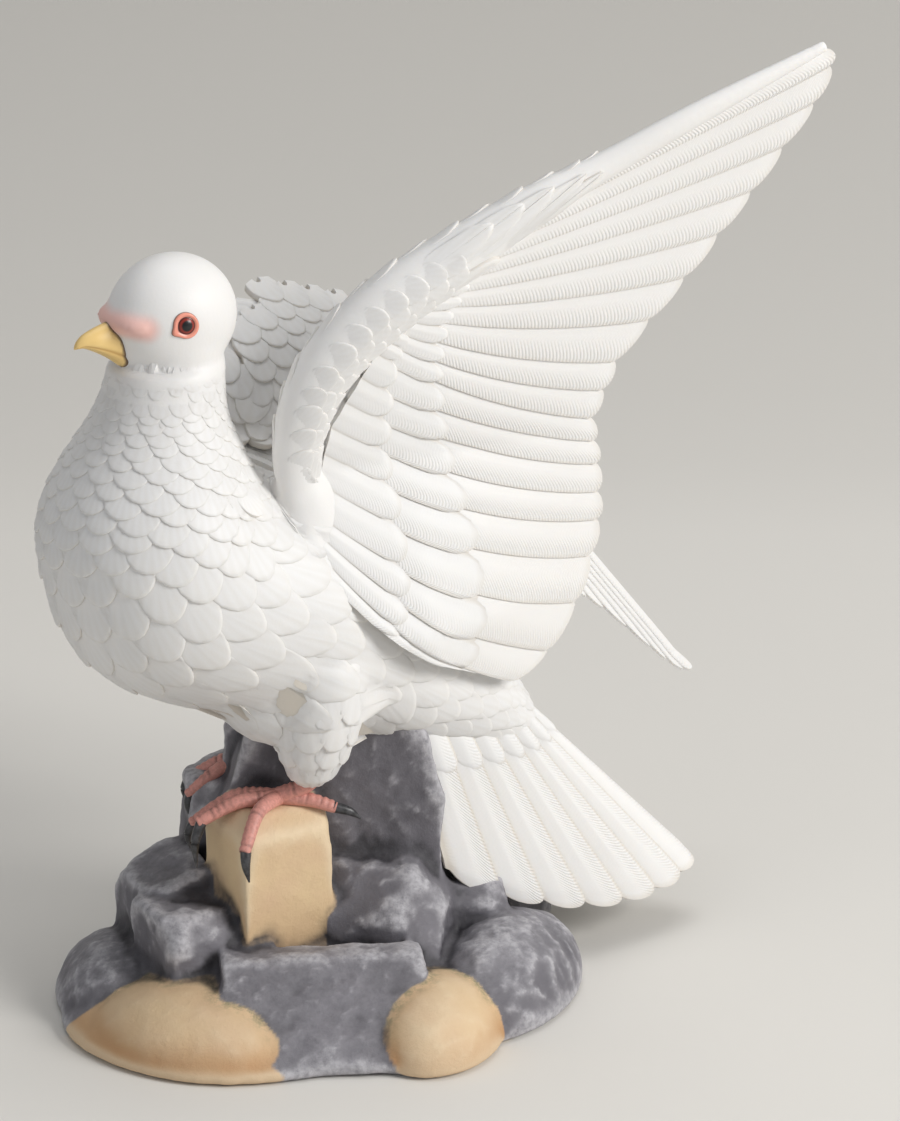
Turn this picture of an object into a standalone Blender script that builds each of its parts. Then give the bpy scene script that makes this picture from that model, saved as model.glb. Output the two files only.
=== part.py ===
"""A life-size white porcelain dove, one wing raised and the tail fanned, standing on a painted rock base.

The origin is in the middle of the base's underside. The viewer stands on the -Y side and faces +Y. +X is to
the viewer's right and +Z is up. The bird is a free form: its tables are in shares of its own
height, where one share is a 250th of the way from the perch to the highest wing tip.
"""

import math

import bmesh
import bpy
import numpy as np
from mathutils import Matrix, Vector

# Sizes that can be changed one by one, in metres and degrees
BASE_RADIUS = 0.082
BASE_RIM_HEIGHT = 0.0035
PERCH_HEIGHT = 0.074
DOVE_HEIGHT = 0.250
SEAT_GAP = 0.0003
BODY_HEADING = 25.0
HEAD_HEADING = 33.0
RAISED_WING_AZIMUTH = 22.0
RAISED_WING_LEAN = 8.0
TAIL_AZIMUTH = 23.5
TAIL_DROOP = 46.0

# One share of the bird, and one unit of the rock's tables across and up, in metres
SHARE = DOVE_HEIGHT / 250
ROCK = BASE_RADIUS / 82
RISE = PERCH_HEIGHT / 74
STAND = np.array([-13 * ROCK, -8 * ROCK, PERCH_HEIGHT])

# Feather relief, in the bird's shares
SCALE_LIFT = 1.1
ARM_LIFT = 1.0
THIGH_LIFT = 1.2
SCALES_AROUND = 14
BARB_STEP = 0.9
COVERT_STEP = 1.5
CUTTER_RELIEF = 1.8

COLLECTION = "dove_statue"
CUTTERS = "dove_statue_cutters"


# The scene and small helpers


def clear_scene():
    for obj in list(bpy.data.objects):
        bpy.data.objects.remove(obj, do_unlink=True)


def new_collection(name, hidden=False):
    made = bpy.data.collections.new(name)
    bpy.context.scene.collection.children.link(made)
    made.hide_render = hidden
    return made


def material(name, colour, roughness, metallic=0.0):
    made = bpy.data.materials.new(name)
    made.use_nodes = True
    shader = made.node_tree.nodes["Principled BSDF"]
    shader.inputs["Base Color"].default_value = (*colour, 1.0)
    shader.inputs["Roughness"].default_value = roughness
    shader.inputs["Metallic"].default_value = metallic
    return made


def mesh_object(name, mesh):
    obj = bpy.data.objects.new(name, mesh)
    bpy.data.collections[COLLECTION].objects.link(obj)
    return obj


def object_from_bmesh(name, bm):
    bmesh.ops.recalc_face_normals(bm, faces=bm.faces)
    mesh = bpy.data.meshes.new(name)
    bm.to_mesh(mesh)
    bm.free()
    return mesh_object(name, mesh)


def join_union(target, others):
    """Joins the others to the target one by one, so that they make one closed body."""
    for other in others:
        boolean(target, [other], "UNION")


def joined(parts):
    """The parts as one closed body."""
    join_union(parts[0], parts[1:])
    return parts[0]


def boolean(target, others, operation):
    """Joins or cuts the target with all the others at once, and removes them."""
    held = bpy.data.collections[CUTTERS]
    for other in others:
        other.display_type = "WIRE"
        held.objects.link(other)
        bpy.data.collections[COLLECTION].objects.unlink(other)
    modifier = target.modifiers.new(operation.title(), "BOOLEAN")
    modifier.operation = operation
    modifier.solver = "EXACT"
    modifier.operand_type = "COLLECTION"
    modifier.collection = held
    bpy.context.view_layer.update()
    graph = bpy.context.evaluated_depsgraph_get()
    mesh = bpy.data.meshes.new_from_object(target.evaluated_get(graph))
    target.modifiers.remove(modifier)
    old = target.data
    target.data = mesh
    bpy.data.meshes.remove(old)
    for other in others:
        bpy.data.objects.remove(other, do_unlink=True)


# Curves through tables


def through(table, where):
    """A smooth curve through the table's rows, read at the given row positions."""
    table = np.asarray(table, float)
    last = len(table) - 1
    where = np.clip(np.atleast_1d(where).astype(float), 0, last)
    low = np.minimum(where.astype(int), last - 1)
    part = (where - low)[:, None]
    before = table[np.maximum(low - 1, 0)]
    start = table[low]
    end = table[low + 1]
    after = table[np.minimum(low + 2, last)]
    return 0.5 * (
        2 * start
        + (end - before) * part
        + (2 * before - 5 * start + 4 * end - after) * part**2
        + (3 * start - before - 3 * end + after) * part**3
    )


def keyed(keys, values, where):
    """Values read between keys, with the ends held."""
    values = np.asarray(values, float)
    if values.ndim == 1:
        return np.interp(where, keys, values)
    return np.stack([np.interp(where, keys, column) for column in values.T], -1)


def turn(degrees):
    return math.cos(math.radians(degrees)), math.sin(math.radians(degrees))


def heading_axes(degrees):
    """Forward, left and up for something that faces the given heading."""
    c, s = turn(degrees)
    return np.array([[-c, -s, 0.0], [s, -c, 0.0], [0.0, 0.0, 1.0]])


def on_bird(points):
    """Points in the bird's shares, measured from where it stands, as world positions."""
    return STAND + SHARE * np.asarray(points, float)


# Lofts


def loft(name, rings, strip_caps=False):
    """A closed skin over rings of equal count. Strip caps close a flat ring across its two halves."""
    bm = bmesh.new()
    made = [[bm.verts.new(point) for point in ring] for ring in rings]
    count = len(made[0])
    for ring, following in zip(made, made[1:]):
        for i in range(count):
            j = (i + 1) % count
            bm.faces.new((ring[i], ring[j], following[j], following[i]))
    for ring in (made[0], made[-1]):
        if strip_caps:
            for i in range(count // 2 - 1):
                bm.faces.new((ring[i], ring[i + 1], ring[count - 2 - i], ring[count - 1 - i]))
        else:
            bm.faces.new(ring)
    return object_from_bmesh(name, bm)


def ring_points(frames, where, angles, lift):
    """Points round an oval section. Each frame row holds a centre and two half-axes."""
    row = through(frames, where)
    centre, first, second = row[:, 0:3], row[:, 3:6], row[:, 6:9]
    c, s = np.cos(angles)[:, None], np.sin(angles)[:, None]
    a, b = (np.linalg.norm(v, axis=1, keepdims=True) for v in (first, second))
    outward = first / a**2 * c + second / b**2 * s
    outward /= np.linalg.norm(outward, axis=1, keepdims=True)
    return centre + first * c + second * s + outward * np.reshape(lift, (-1, 1))


def feathered_loft(name, frames, lips, scales, lift, columns=2, reach=0.42):
    """A loft whose surface steps out in rows of round-ended scales, like tiles, towards the first frame."""
    count = scales * columns
    angles = np.arange(count) * math.tau / count
    rings = [ring_points(frames, np.zeros(count), angles, 0.0)]
    for row, (low, high) in enumerate(zip(lips, lips[1:])):
        round_end = {}
        for shift in (row, row + 1):
            phase = (np.arange(count) / columns + 0.5 * (shift % 2)) % 1.0
            round_end[shift] = np.sqrt(np.clip(1 - (2 * phase - 1) ** 2, 0, 1))
        gap = high - low
        lip = low - reach * gap * round_end[row]
        under = high - reach * gap * round_end[row + 1] - 0.03 * gap
        spacing = np.linalg.norm(
            ring_points(frames, under, angles, 0.0) - ring_points(frames, lip, angles, 0.0), axis=1
        )
        step = np.minimum(lift, 0.16 * spacing)
        rings.append(ring_points(frames, lip, angles, step))
        rings.append(ring_points(frames, under, angles, 0.0))
    last = np.full(count, len(frames) - 1.0)
    rings.append(ring_points(frames, last, angles, 0.0))
    return loft(name, [on_bird(ring) for ring in rings])


def plain_loft(name, frames, steps, count, lift):
    angles = np.arange(count) * math.tau / count
    where = np.linspace(0, len(frames) - 1, steps)
    return loft(name, [on_bird(ring_points(frames, np.full(count, w), angles, lift)) for w in where])


def tube(name, points, radii, sides=8):
    """A round bar along points, with its own radius at each, from a bevelled curve."""
    curve = bpy.data.curves.new(name, "CURVE")
    curve.dimensions = "3D"
    curve.bevel_depth = 1.0
    curve.bevel_resolution = max(sides // 4 - 1, 0)
    curve.use_fill_caps = True
    spline = curve.splines.new("POLY")
    spline.points.add(len(points) - 1)
    for point, place, radius in zip(spline.points, points, radii):
        point.co = (*place, 1.0)
        point.radius = radius
    guide = mesh_object(name + "_guide", curve)
    bpy.context.view_layer.update()
    graph = bpy.context.evaluated_depsgraph_get()
    mesh = bpy.data.meshes.new_from_object(guide.evaluated_get(graph))
    bm = bmesh.new()
    bm.from_mesh(mesh)
    bmesh.ops.remove_doubles(bm, verts=bm.verts, dist=0.00001)
    bpy.data.meshes.remove(mesh)
    bpy.data.objects.remove(guide, do_unlink=True)
    return object_from_bmesh(name, bm)


def ball(name, centre, half_sizes, axes, segments=12, rings=8):
    """An egg of the given half sizes along forward, left and up axes."""
    bm = bmesh.new()
    bmesh.ops.create_uvsphere(bm, u_segments=segments, v_segments=rings, radius=1.0)
    place = Matrix([[*(axes[:, i] * half_sizes), centre[i]] for i in range(3)] + [[0, 0, 0, 1]])
    bm.transform(place)
    return object_from_bmesh(name, bm)


# Feather sheets: wings and tail


def sheet_columns(feathers, columns):
    """Positions across a sheet, in feathers, with a pair of columns hard by each edge between feathers."""
    inside = np.linspace(0.04, 0.96, columns)
    return np.concatenate([inside + i for i in range(feathers)])


def sheet_rows(first, second, counts):
    """Positions along each feather, and how many rows of coverts still lie over it there."""
    step = 0.012
    rows, steps = [], []
    for left, start, end, count in (
        (2, np.zeros_like(first), first - step, counts[0]),
        (1, first + step, second - step, counts[1]),
        (0, second + step, np.ones_like(first), counts[2]),
    ):
        share = np.linspace(0, 1, count)
        rows.append(start[:, None] + (end - start)[:, None] * share)
        steps += [left] * count
    return np.concatenate(rows, 1), np.array(steps)


def bezier(root, bend, tip, along):
    along = along[..., None]
    return (
        root[:, None] * (1 - along) ** 2 + 2 * bend[:, None] * along * (1 - along) + tip[:, None] * along**2
    )


def feather_sheet(
    name, feathers, surface, face, root, bend, tip, first, second, thick, lobe, counts, columns=3
):
    """A sheet of overlapping feathers, from root, bend and tip curves given by the feather's number.

    The curves lie in the wing's own plane, the surface function places them in space, and the face function
    gives the way that the outer face looks at each feather.

    Its outer face steps down from each feather to the next and at the tips of two rows of coverts. Each
    feather ends in a rounded tip that reaches past the notch beside it.
    """
    q = sheet_columns(feathers, columns)
    part = q % 1.0
    roundness = np.sqrt(np.clip(1 - (2 * part - 1) ** 2, 0, 1))
    along, steps = sheet_rows(
        first(q) * (0.85 + 0.15 * roundness), second(q) * (0.90 + 0.10 * roundness), counts
    )
    reach = lobe(q)[:, None] * roundness[:, None]
    end = tip(q) - bend(q)
    end /= np.linalg.norm(end, axis=1, keepdims=True)
    middle = surface(bezier(root(q), bend(q), tip(q) + end * reach, along))
    normal = np.broadcast_to(face(q)[:, None], middle.shape)
    covert = COVERT_STEP * steps * np.clip(along * 4, 0.25, 1)
    rise = np.clip(along * 3, 0, 1)
    slope = BARB_STEP * rise * (part[:, None] - 0.5)
    half = 0.5 * thick(along)
    front = middle + normal * (half + covert + slope)[..., None]
    back = middle - normal * (half + 0.6 * covert - slope)[..., None]
    rings = [on_bird(np.concatenate([a, b[::-1]])) for a, b in zip(front, back)]
    return loft(name, rings, strip_caps=True)


# The bird


BODY_AXES = heading_axes(BODY_HEADING)
HEAD_AXES = heading_axes(HEAD_HEADING)
HEAD_CENTRE = np.array([34.1, 0.0, 170.5]) @ BODY_AXES
# Forward, up and radius along the beak, from inside the head to its tip
BEAK = (
    (12, -6.5, 5.4), (20, -5.6, 5.0), (26, -4.4, 4.1), (31.5, -3.6, 2.8), (35, -3.8, 1.5), (36.3, -4.8, 0.5),
)

# Belly forward and up, back forward and up, half width, from the rump to the top of the neck
BODY_STATIONS = (
    (-96, -4, -94, 18, 8),
    (-76, 0, -84, 33, 17),
    (-46, 9, -67, 50, 25.5),
    (-11, 21, -45, 76, 34),
    (21, 32, -22, 98, 39.5),
    (46, 40.5, -3, 109, 42),
    (64, 52, 5, 113.5, 42.5),
    (74.5, 68, 8.5, 116.5, 42),
    (79.5, 86, 10, 118.5, 40.5),
    (80.5, 100, 11, 121, 38),
    (77, 113, 12.5, 124.5, 34),
    (70.5, 125, 14.5, 130, 28.7),
    (63.5, 135.5, 17, 136.5, 23.8),
    (58.5, 146, 17.8, 146, 20.4),
    (56, 156, 17.3, 156, 19.4),
)
BODY_LIPS = (
    0.5, 1.15, 1.8, 2.4, 3.0, 3.6, 4.25, 4.9, 5.5, 6.2, 6.9, 7.7, 8.6, 9.5, 10.4, 11.2, 12.0, 12.9,
)


def body_frames():
    rows = []
    for belly_f, belly_u, back_f, back_u, half in BODY_STATIONS:
        belly = np.array([belly_f, 0.0, belly_u])
        back = np.array([back_f, 0.0, back_u])
        first = (back - belly) / 2
        second = np.array([0.0, half, 0.0])
        rows.append(np.concatenate([v @ BODY_AXES for v in ((belly + back) / 2, first, second)]))
    return np.array(rows)


def head_parts():
    forward, left, up = HEAD_AXES
    at = lambda f, l, u: on_bird(HEAD_CENTRE + f * forward + l * left + u * up)
    skull = ball("skull", at(0.8, 0, 0.4), np.array([22.6, 19.0, 20.8]) * SHARE, HEAD_AXES, 18, 10)
    cere = ball("cere", at(17, 0, 1.5), np.array([7.5, 6.5, 4.6]) * SHARE, HEAD_AXES)
    beak = tube(
        "beak",
        [at(forward, 0, up) for forward, up, _ in BEAK],
        [radius * SHARE for _, _, radius in BEAK],
        12,
    )
    eyes = [ball("eye", at(5.7, side * 14.0, 2.9), np.full(3, 4.7) * SHARE, HEAD_AXES) for side in (1, -1)]
    return [skull, cere, beak, *eyes]


# The raised wing lies in a slanting plane that the viewer sees from below
RAISED_ORIGIN = np.array([6.0, -16.0, 115.0])
RAISED_TIP_KEYS = (0, 1, 2, 4, 6, 8, 10, 12, 14, 15, 16, 17, 18, 19)
RAISED_TIPS = (
    (178, 135), (181, 129), (177, 116), (158, 86), (137, 57), (114, 29), (106.5, 9), (109.5, -8), (111, -29),
    (109, -42), (104, -58), (93, -73), (78, -80), (61, -70),
)
RAISED_ROOT_KEYS = (0, 1, 5, 10, 13, 16, 19)
RAISED_ROOTS = ((51, 84), (55, 74), (45, 61), (27, 45), (12, 20), (6, -8), (4, -24))
RAISED_FIRST = ((0, 8, 10, 13, 16, 19), (0.05, 0.07, 0.12, 0.24, 0.33, 0.44))
RAISED_SECOND = ((0, 5, 7, 10, 13, 16, 19), (0.11, 0.13, 0.18, 0.34, 0.49, 0.62, 0.84))
ARM_CENTRE = (
    (4, -24), (1.5, 4), (3.5, 26), (12.5, 44), (30, 61),
    (54, 76), (81.5, 91.5), (102, 101), (137, 118), (180, 137),
)
ARM_HALF = (4.5, 7.5, 9, 10, 10.5, 9.5, 7.0, 5.2, 4.2, 2.0)
# Rows of small feathers along the arm, from the wing's tip down
ARM_LIPS = tuple(0.6 + 0.95 * row for row in range(9))
ARM_SCALES_AROUND = 7


def raised_axes():
    c, s = turn(RAISED_WING_AZIMUTH)
    lean_c, lean_s = turn(RAISED_WING_LEAN)
    toward = np.array([s * lean_c, -c * lean_c, -lean_s])
    across = np.array([c, s, 0.0])
    return across, np.cross(toward, across), toward


def raised_lift(a, b):
    """How far the wing bows towards the viewer, most where it laps over the flank."""
    lap = np.clip((4 - b) / 34, 0, 1.6) * np.clip((112 - a) / 70, 0, 1)
    cup = 5.0 * np.clip((b - 30) / 100, -0.5, 1) ** 2
    return 17 * lap + cup


def raised_point(ab, lift=0.0):
    ab = np.asarray(ab, float)
    across, upward, toward = raised_axes()
    total = raised_lift(ab[..., 0], ab[..., 1]) + lift
    return RAISED_ORIGIN + ab[..., :1] * across + ab[..., 1:] * upward + total[..., None] * toward


def bowed(start, end, bow):
    """The middle control point of feathers that bow sideways in their own plane."""
    run = end - start
    run /= np.linalg.norm(run, axis=1, keepdims=True)
    side = np.stack([-run[:, 1], run[:, 0]], -1)
    return (start + end) / 2 + side * np.reshape(bow, (-1, 1))


def raised_wing():
    root = lambda q: keyed(RAISED_ROOT_KEYS, RAISED_ROOTS, q)
    tip = lambda q: keyed(RAISED_TIP_KEYS, RAISED_TIPS, q)
    bow = lambda q: np.interp(q, (0, 4, 9, 14, 19), (0.0, -2.0, -9.0, -10.0, -9.0))
    bend = lambda q: bowed(root(q), tip(q), bow(q))
    first = lambda q: np.interp(q, *RAISED_FIRST)
    second = lambda q: np.interp(q, *RAISED_SECOND)
    thick = lambda along: 4.2 - 2.4 * along
    lobe = lambda q: np.interp(q, (0, 3, 8, 19), (4.5, 4.0, 2.5, 3.5))
    face = lambda q: np.tile(raised_axes()[2], (len(q), 1))
    sheet = feather_sheet(
        "raised_sheet", 19, raised_point, face, root, bend, tip, first, second, thick, lobe, (2, 2, 4)
    )
    return [sheet, feathered_loft("raised_arm", arm_frames()[::-1], ARM_LIPS, ARM_SCALES_AROUND, ARM_LIFT)]


def arm_frames():
    """The arm along the leading edge, standing proud of the sheet towards the viewer."""
    centre = np.array(ARM_CENTRE, float)
    half = np.array(ARM_HALF)[:, None]
    run = np.gradient(centre, axis=0)
    run /= np.linalg.norm(run, axis=1, keepdims=True)
    side = np.stack([-run[:, 1], run[:, 0]], -1) * half
    proud = 0.30 * half[:, 0]
    middle = raised_point(centre, proud)
    toward = raised_axes()[2] * half * 0.85
    return np.concatenate([middle, raised_point(centre + side, proud) - middle, toward], 1)


# The far wing droops beside the back, its upper face towards the viewer
FAR_WRIST = np.array([-20.0, 68.0, 147.0])
FAR_AXES = np.array([[0.734, 0.162, -0.66], [-0.083, -0.943, -0.323], [0.675, -0.292, 0.679]])
FAR_TIP_KEYS = (0, 1, 3, 5, 7, 9, 12, 15, 17)
FAR_TIPS = ((223, 2), (220, 8), (202, 14), (174, 21), (155, 29), (138, 42), (118, 60), (104, 72), (90, 78))
FAR_ROOT_KEYS = (0, 5, 10, 14, 17)
FAR_ROOTS = ((2, -9), (-5, 8), (-3, 26), (6, 44), (20, 56))
FAR_ARCH = ((0, 10, 33, 80, 150, 217), (2, 8, 15, 19, 12, 0))
FAR_SWAY = ((0, 12, 36, 165, 225), (6, 1.5, -9.5, -11, -9.5))


def far_point(ab):
    """A point of the far wing, which is arched along its length and drops from its crest to the shoulder."""
    a, b = ab[..., 0], ab[..., 1]
    drop = 20 * np.clip(b / 50, 0, 1) ** 2 * np.clip((110 - a) / 70, 0, 1)
    arch = np.interp(a, *FAR_ARCH) - drop
    return FAR_WRIST + np.stack([a, b + np.interp(a, *FAR_SWAY), arch], -1) @ FAR_AXES


def far_wing():
    root = lambda q: keyed(FAR_ROOT_KEYS, FAR_ROOTS, q)
    tip = lambda q: keyed(FAR_TIP_KEYS, FAR_TIPS, q)
    bend = lambda q: bowed(root(q), tip(q), 3.0 + 0 * q)
    first = lambda q: np.interp(q, (0, 5, 17), (0.12, 0.16, 0.34))
    second = lambda q: np.interp(q, (0, 5, 17), (0.30, 0.36, 0.62))
    thick = lambda along: 7.5 - 5.7 * np.sqrt(along)
    lobe = lambda q: np.full_like(q, 4.0)
    face = lambda q: np.tile(FAR_AXES[2], (len(q), 1))
    counts = (2, 2, 3)
    return [
        feather_sheet(
            "far_sheet", 17, far_point, face, root, bend, tip, first, second, thick, lobe, counts, columns=2
        )
    ]


# The tail is a fan of feathers, arched like a tent over its middle line
TAIL_FEATHERS = 14
TAIL_ROOT = np.array([68.8, 28.2, 32.0])
TAIL_FAN = 31.5
TAIL_ROLL = 74.7
TAIL_FAR_FAN = 28.0
TAIL_FAR_ROLL = 42.0
TAIL_LENGTHS = (119.0, 101.0, 62.0)
TAIL_SPREAD = 14.7
TAIL_FORWARD = 33.2
TAIL_SINK = 7.8
TAIL_SLOT_HALF = 6.0


def tail_ray(q):
    """Root point, direction, length and outer face of the tail at feather position q."""
    side = 1 - 2 * q / TAIL_FEATHERS
    out = np.abs(side)[:, None]
    near = side[:, None] > 0
    c, s = turn(TAIL_AZIMUTH)
    droop_c, droop_s = turn(TAIL_DROOP)
    middle = np.array([c * droop_c, s * droop_c, -droop_s])
    left = np.array([s, -c, 0.0])
    above = np.cross(left, middle)
    roll = np.radians(np.where(near, TAIL_ROLL, TAIL_FAR_ROLL)) * out * 1.12 / (out + 0.12)
    fan = np.radians(np.where(near, TAIL_FAN, TAIL_FAR_FAN)) * out
    sideways = np.sign(side)[:, None] * left
    outward = np.cos(roll) * sideways - np.sin(roll) * above
    ray = np.cos(fan) * middle + np.sin(fan) * outward
    start = TAIL_ROOT + TAIL_SPREAD * side[:, None] * left + TAIL_FORWARD * out**2 * BODY_AXES[0]
    start = start - np.array([0, 0, TAIL_SINK]) * out**2
    centre, half_way, outer = TAIL_LENGTHS
    length = centre * (1 - out) * (1 - 2 * out) + 4 * half_way * out * (1 - out) + outer * out * (2 * out - 1)
    face = np.cos(roll) * above + np.sin(roll) * sideways
    return start, ray, length, face


def tail_fan():
    def root(q):
        start, ray, _, _ = tail_ray(q)
        return start + 3 * ray

    def tip(q):
        start, ray, length, _ = tail_ray(q)
        return start + ray * (length - 4)

    bend = lambda q: 0.5 * (root(q) + tip(q))
    face = lambda q: tail_ray(q)[3]
    first = lambda q: np.full_like(q, 0.18)
    second = lambda q: np.full_like(q, 0.40)
    thick = lambda along: 2.8 - 0.9 * along
    lobe = lambda q: np.full_like(q, 4.0)
    counts = (2, 2, 2)
    return [
        feather_sheet(
            "tail_sheet", TAIL_FEATHERS, np.asarray, face, root, bend, tip, first, second, thick, lobe, counts
        )
    ]


# Legs, in shares from where the bird stands
LEFT_THIGH = (
    ((17, -20, 54), 15),
    ((15.5, -20, 38), 15.5),
    ((14, -18.5, 25), 13.5),
    ((13, -17.5, 15), 9.5),
    ((12, -17, 8), 4.5),
)
LEFT_FOOT = (1.5, -16.5, 2.4)
LEFT_TOES = (
    ((-13, -15, 2.0), (-27, -17, -6.5), (-28.5, -18, -16)),
    ((-12, -21, 2.2), (-24.5, -25, -3.0), (-26, -27, -19)),
    ((-5, -30, 2.2), (-9, -40, -7.0), (-7.8, -41.5, -18)),
    ((12, -17.5, 1.6), (20, -18, -0.8), (29, -17, -5.5)),
)
RIGHT_THIGH = (
    ((-4, 25, 54), 15),
    ((-6, 24, 38), 14.5),
    ((-8, 22, 25), 12),
    ((-9, 20, 15), 8),
    ((-10, 18, 8), 4),
)
RIGHT_FOOT = (-12, 16, 1.0)
RIGHT_TOES = (
    ((-20, 13, 0.0), (-30, 12, -8.5), (-29, 10, -18)),
    ((-19, 20, 0.5), (-31, 22, -7.0), (-31.5, 21, -16)),
)
THIGH_LIPS = (1.0, 2.2, 3.4)
THIGH_SCALES_AROUND = 8
ANKLE_HALF = (3.4, 3.0, 3.2)
TOE_HALF = (3.0, 2.6, 2.0)
CLAW_HALF = (1.7, 1.3, 0.4)


def thigh_frames(rows):
    return np.array([np.concatenate([centre, (half, 0, 0), (0, half, 0)]) for centre, half in rows], float)


def bar(name, points, half_sizes, grow):
    """A tapering bar through points in the bird's shares, grown all round by a gap."""
    places = on_bird(points)
    for end, beside in ((0, 1), (-1, -2)):
        run = places[end] - places[beside]
        places[end] += run / np.linalg.norm(run) * grow
    return tube(name, places, [half * SHARE + grow for half in half_sizes])


def leg_parts(thigh, foot, toes, grow=0.0):
    """The ankle, toes and claws, each as a tapering bar."""
    low = np.array(thigh[-1][0], float)
    bars = [bar("ankle", [low + (0, 0, 8), low, foot], ANKLE_HALF, grow)]
    for order, (near, far, claw) in enumerate(np.array(toes, float)):
        start = foot + (near - foot) * 0.07 * (order + 1)
        bars.append(bar("toe", [start, near, far], TOE_HALF, grow))
        knuckle = 0.5 * (far + claw) + 0.1 * np.array([far[0] - near[0], far[1] - near[1], 6])
        bars.append(bar("claw", [far, knuckle, claw], CLAW_HALF, grow))
    return bars


def make_dove(finish):
    dove = feathered_loft("dove", body_frames(), BODY_LIPS, SCALES_AROUND, SCALE_LIFT)
    join_union(dove, [joined(head_parts())])
    join_union(dove, raised_wing() + far_wing() + tail_fan())
    for rows, foot, toes in ((LEFT_THIGH, LEFT_FOOT, LEFT_TOES), (RIGHT_THIGH, RIGHT_FOOT, RIGHT_TOES)):
        thigh = feathered_loft("thigh", thigh_frames(rows)[::-1], THIGH_LIPS, THIGH_SCALES_AROUND, THIGH_LIFT)
        join_union(dove, [joined([thigh] + leg_parts(rows, foot, toes))])
    dove.data.materials.clear()
    dove.data.materials.append(finish)
    dove.data.shade_smooth()
    dove.data.set_sharp_from_angle(angle=math.radians(35))
    return dove


# The rock: chipped blocks that grow out of a round foot


def chipped_block(name, low, high, yaw, chips, ease=2.5):
    """A block between two corners, turned by its yaw, with slanting chips off it and its edges eased."""
    scale = np.array([ROCK, ROCK, RISE])
    middle = (np.array(low) + np.array(high)) / 2 * scale
    size = (np.array(high, float) - np.array(low)) * scale
    bm = bmesh.new()
    bmesh.ops.create_cube(bm, size=1.0)
    bm.transform(Matrix.Diagonal((*size, 1.0)))
    for *direction, depth in chips:
        way = Vector(direction).normalized()
        reach = sum(abs(way[i]) * size[i] / 2 for i in range(3))
        everything = bm.verts[:] + bm.edges[:] + bm.faces[:]
        cut = bmesh.ops.bisect_plane(
            bm, geom=everything, plane_co=way * (reach - depth * scale[0]), plane_no=way, clear_outer=True
        )
        edges = [e for e in cut["geom_cut"] if isinstance(e, bmesh.types.BMEdge)]
        bmesh.ops.edgeloop_fill(bm, edges=edges)
    bmesh.ops.bevel(
        bm, geom=bm.edges[:], offset=ease * scale[0], segments=1, affect="EDGES", clamp_overlap=True
    )
    bmesh.ops.remove_doubles(bm, verts=bm.verts, dist=0.00002)
    bm.transform(Matrix.Translation(Vector(middle)) @ Matrix.Rotation(math.radians(yaw), 4, "Z"))
    return object_from_bmesh(name, bm)


# Low corner, high corner, yaw, and chips as a direction and a depth
# All are for a rock 82 in radius with its perch at 74
BOULDERS = (
    ((-32, -38, 2), (2, -8, 74), 30, ((-1, -1, 0.2, 3), (1, -1, 0.3, 4), (-1, 0, 1, 4), (0, -1, 1.2, 5))),
    ((-32, -13, 2), (44, 4, 104), 2, ((-1, 0, 0.35, 12), (-1, 0, 1, 14), (1, 0, 0.25, 8), (1, -1, 1, 10))),
    ((-30, 0, 2), (42, 42, 92), -6, ((-1, 1, 0.6, 22), (1, 1, 0.6, 24), (1, 0, 0.6, 8))),
    ((-46, 0, 2), (-8, 34, 71), 10, ((-1, 1, 0.5, 10), (-1, -1, 0.6, 7))),
    ((4, -34, 2), (46, -2, 50), -14, ((1, -1, 0.7, 15), (0, -1, 0.8, 10), (1, 0, 0.8, 9))),
    ((10, -16, 2), (64, 30, 38), 8, ((1, 1, 0.5, 9), (1, -1, 0.8, 8), (0, -1, 1, 5))),
    ((-64, -30, 2), (-38, 6, 49), 24, ((-1, -1, 0.6, 7), (-1, 1, 0.8, 8), (-1, 0, 3, 6))),
    ((-56, -50, 2), (-30, -18, 41), 30, ((-1, -1, 0.8, 6), (0, -1, 1, 5))),
    ((-30, -84, 1), (38, -40, 30), 4, ((0.05, -1, 1.3, 21), (-1, -1, 1.2, 10), (1, -0.6, 1, 9))),
    ((-58, 8, 1), (-26, 56, 28), 12, ((-1, 1, 0.9, 14), (-1, 0, 1, 9), (0, 1, 1.1, 7))),
    ((-30, 34, 1), (30, 78, 40), 8, ((0, 1, 0.9, 15), (-1, 1, 1, 9), (1, 1, 1.1, 8))),
    ((22, 16, 1), (76, 62, 30), -24, ((1, 1, 0.9, 14), (1, 0, 1, 9), (0, 1, 1.2, 6))),
)
# Low rounded boulders round the front: centre, half sizes and yaw
ROUND_BOULDERS = (
    ((-40, -59, 1), (39, 27, 21), -30),
    ((42, -55, 2), (22, 31, 21), -15),
    ((64, -19, 1), (25, 43, 27), -21),
    ((-66, -22, 1), (23, 35, 21), 10),
)
FOOT_SIDES = 36
# How the foot slopes in above its rim: shares of its radius, and heights over the rim
FOOT_SLOPE = ((0.88, 8.5), (0.60, 19.5))
BOULDER_BOTTOM = 0.6
# The foot is an uneven round: how many lobes, their height as a share of its radius, and where one points
FOOT_LOBES = ((1, 0.103, -93.9), (2, 0.087, 38.0), (3, 0.064, -11.9), (9, 0.006, 12.0))


def foot_slab():
    """The low foot of the rock, which slopes up from a narrow rim and is uneven like cast rock."""
    angles = np.arange(FOOT_SIDES) * math.tau / FOOT_SIDES
    uneven = 1 + sum(
        height * np.cos(lobes * (angles - math.radians(way))) for lobes, height, way in FOOT_LOBES
    )
    steps = [(1.0, 0.0), (1.0, BASE_RIM_HEIGHT)]
    steps += [(share, BASE_RIM_HEIGHT + height * RISE) for share, height in FOOT_SLOPE]
    rings = []
    for share, height in steps:
        reach = BASE_RADIUS * share * uneven
        level = np.full(FOOT_SIDES, height)
        rings.append(np.stack([reach * np.cos(angles), reach * np.sin(angles), level], -1))
    return loft("rock_base", rings)


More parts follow.
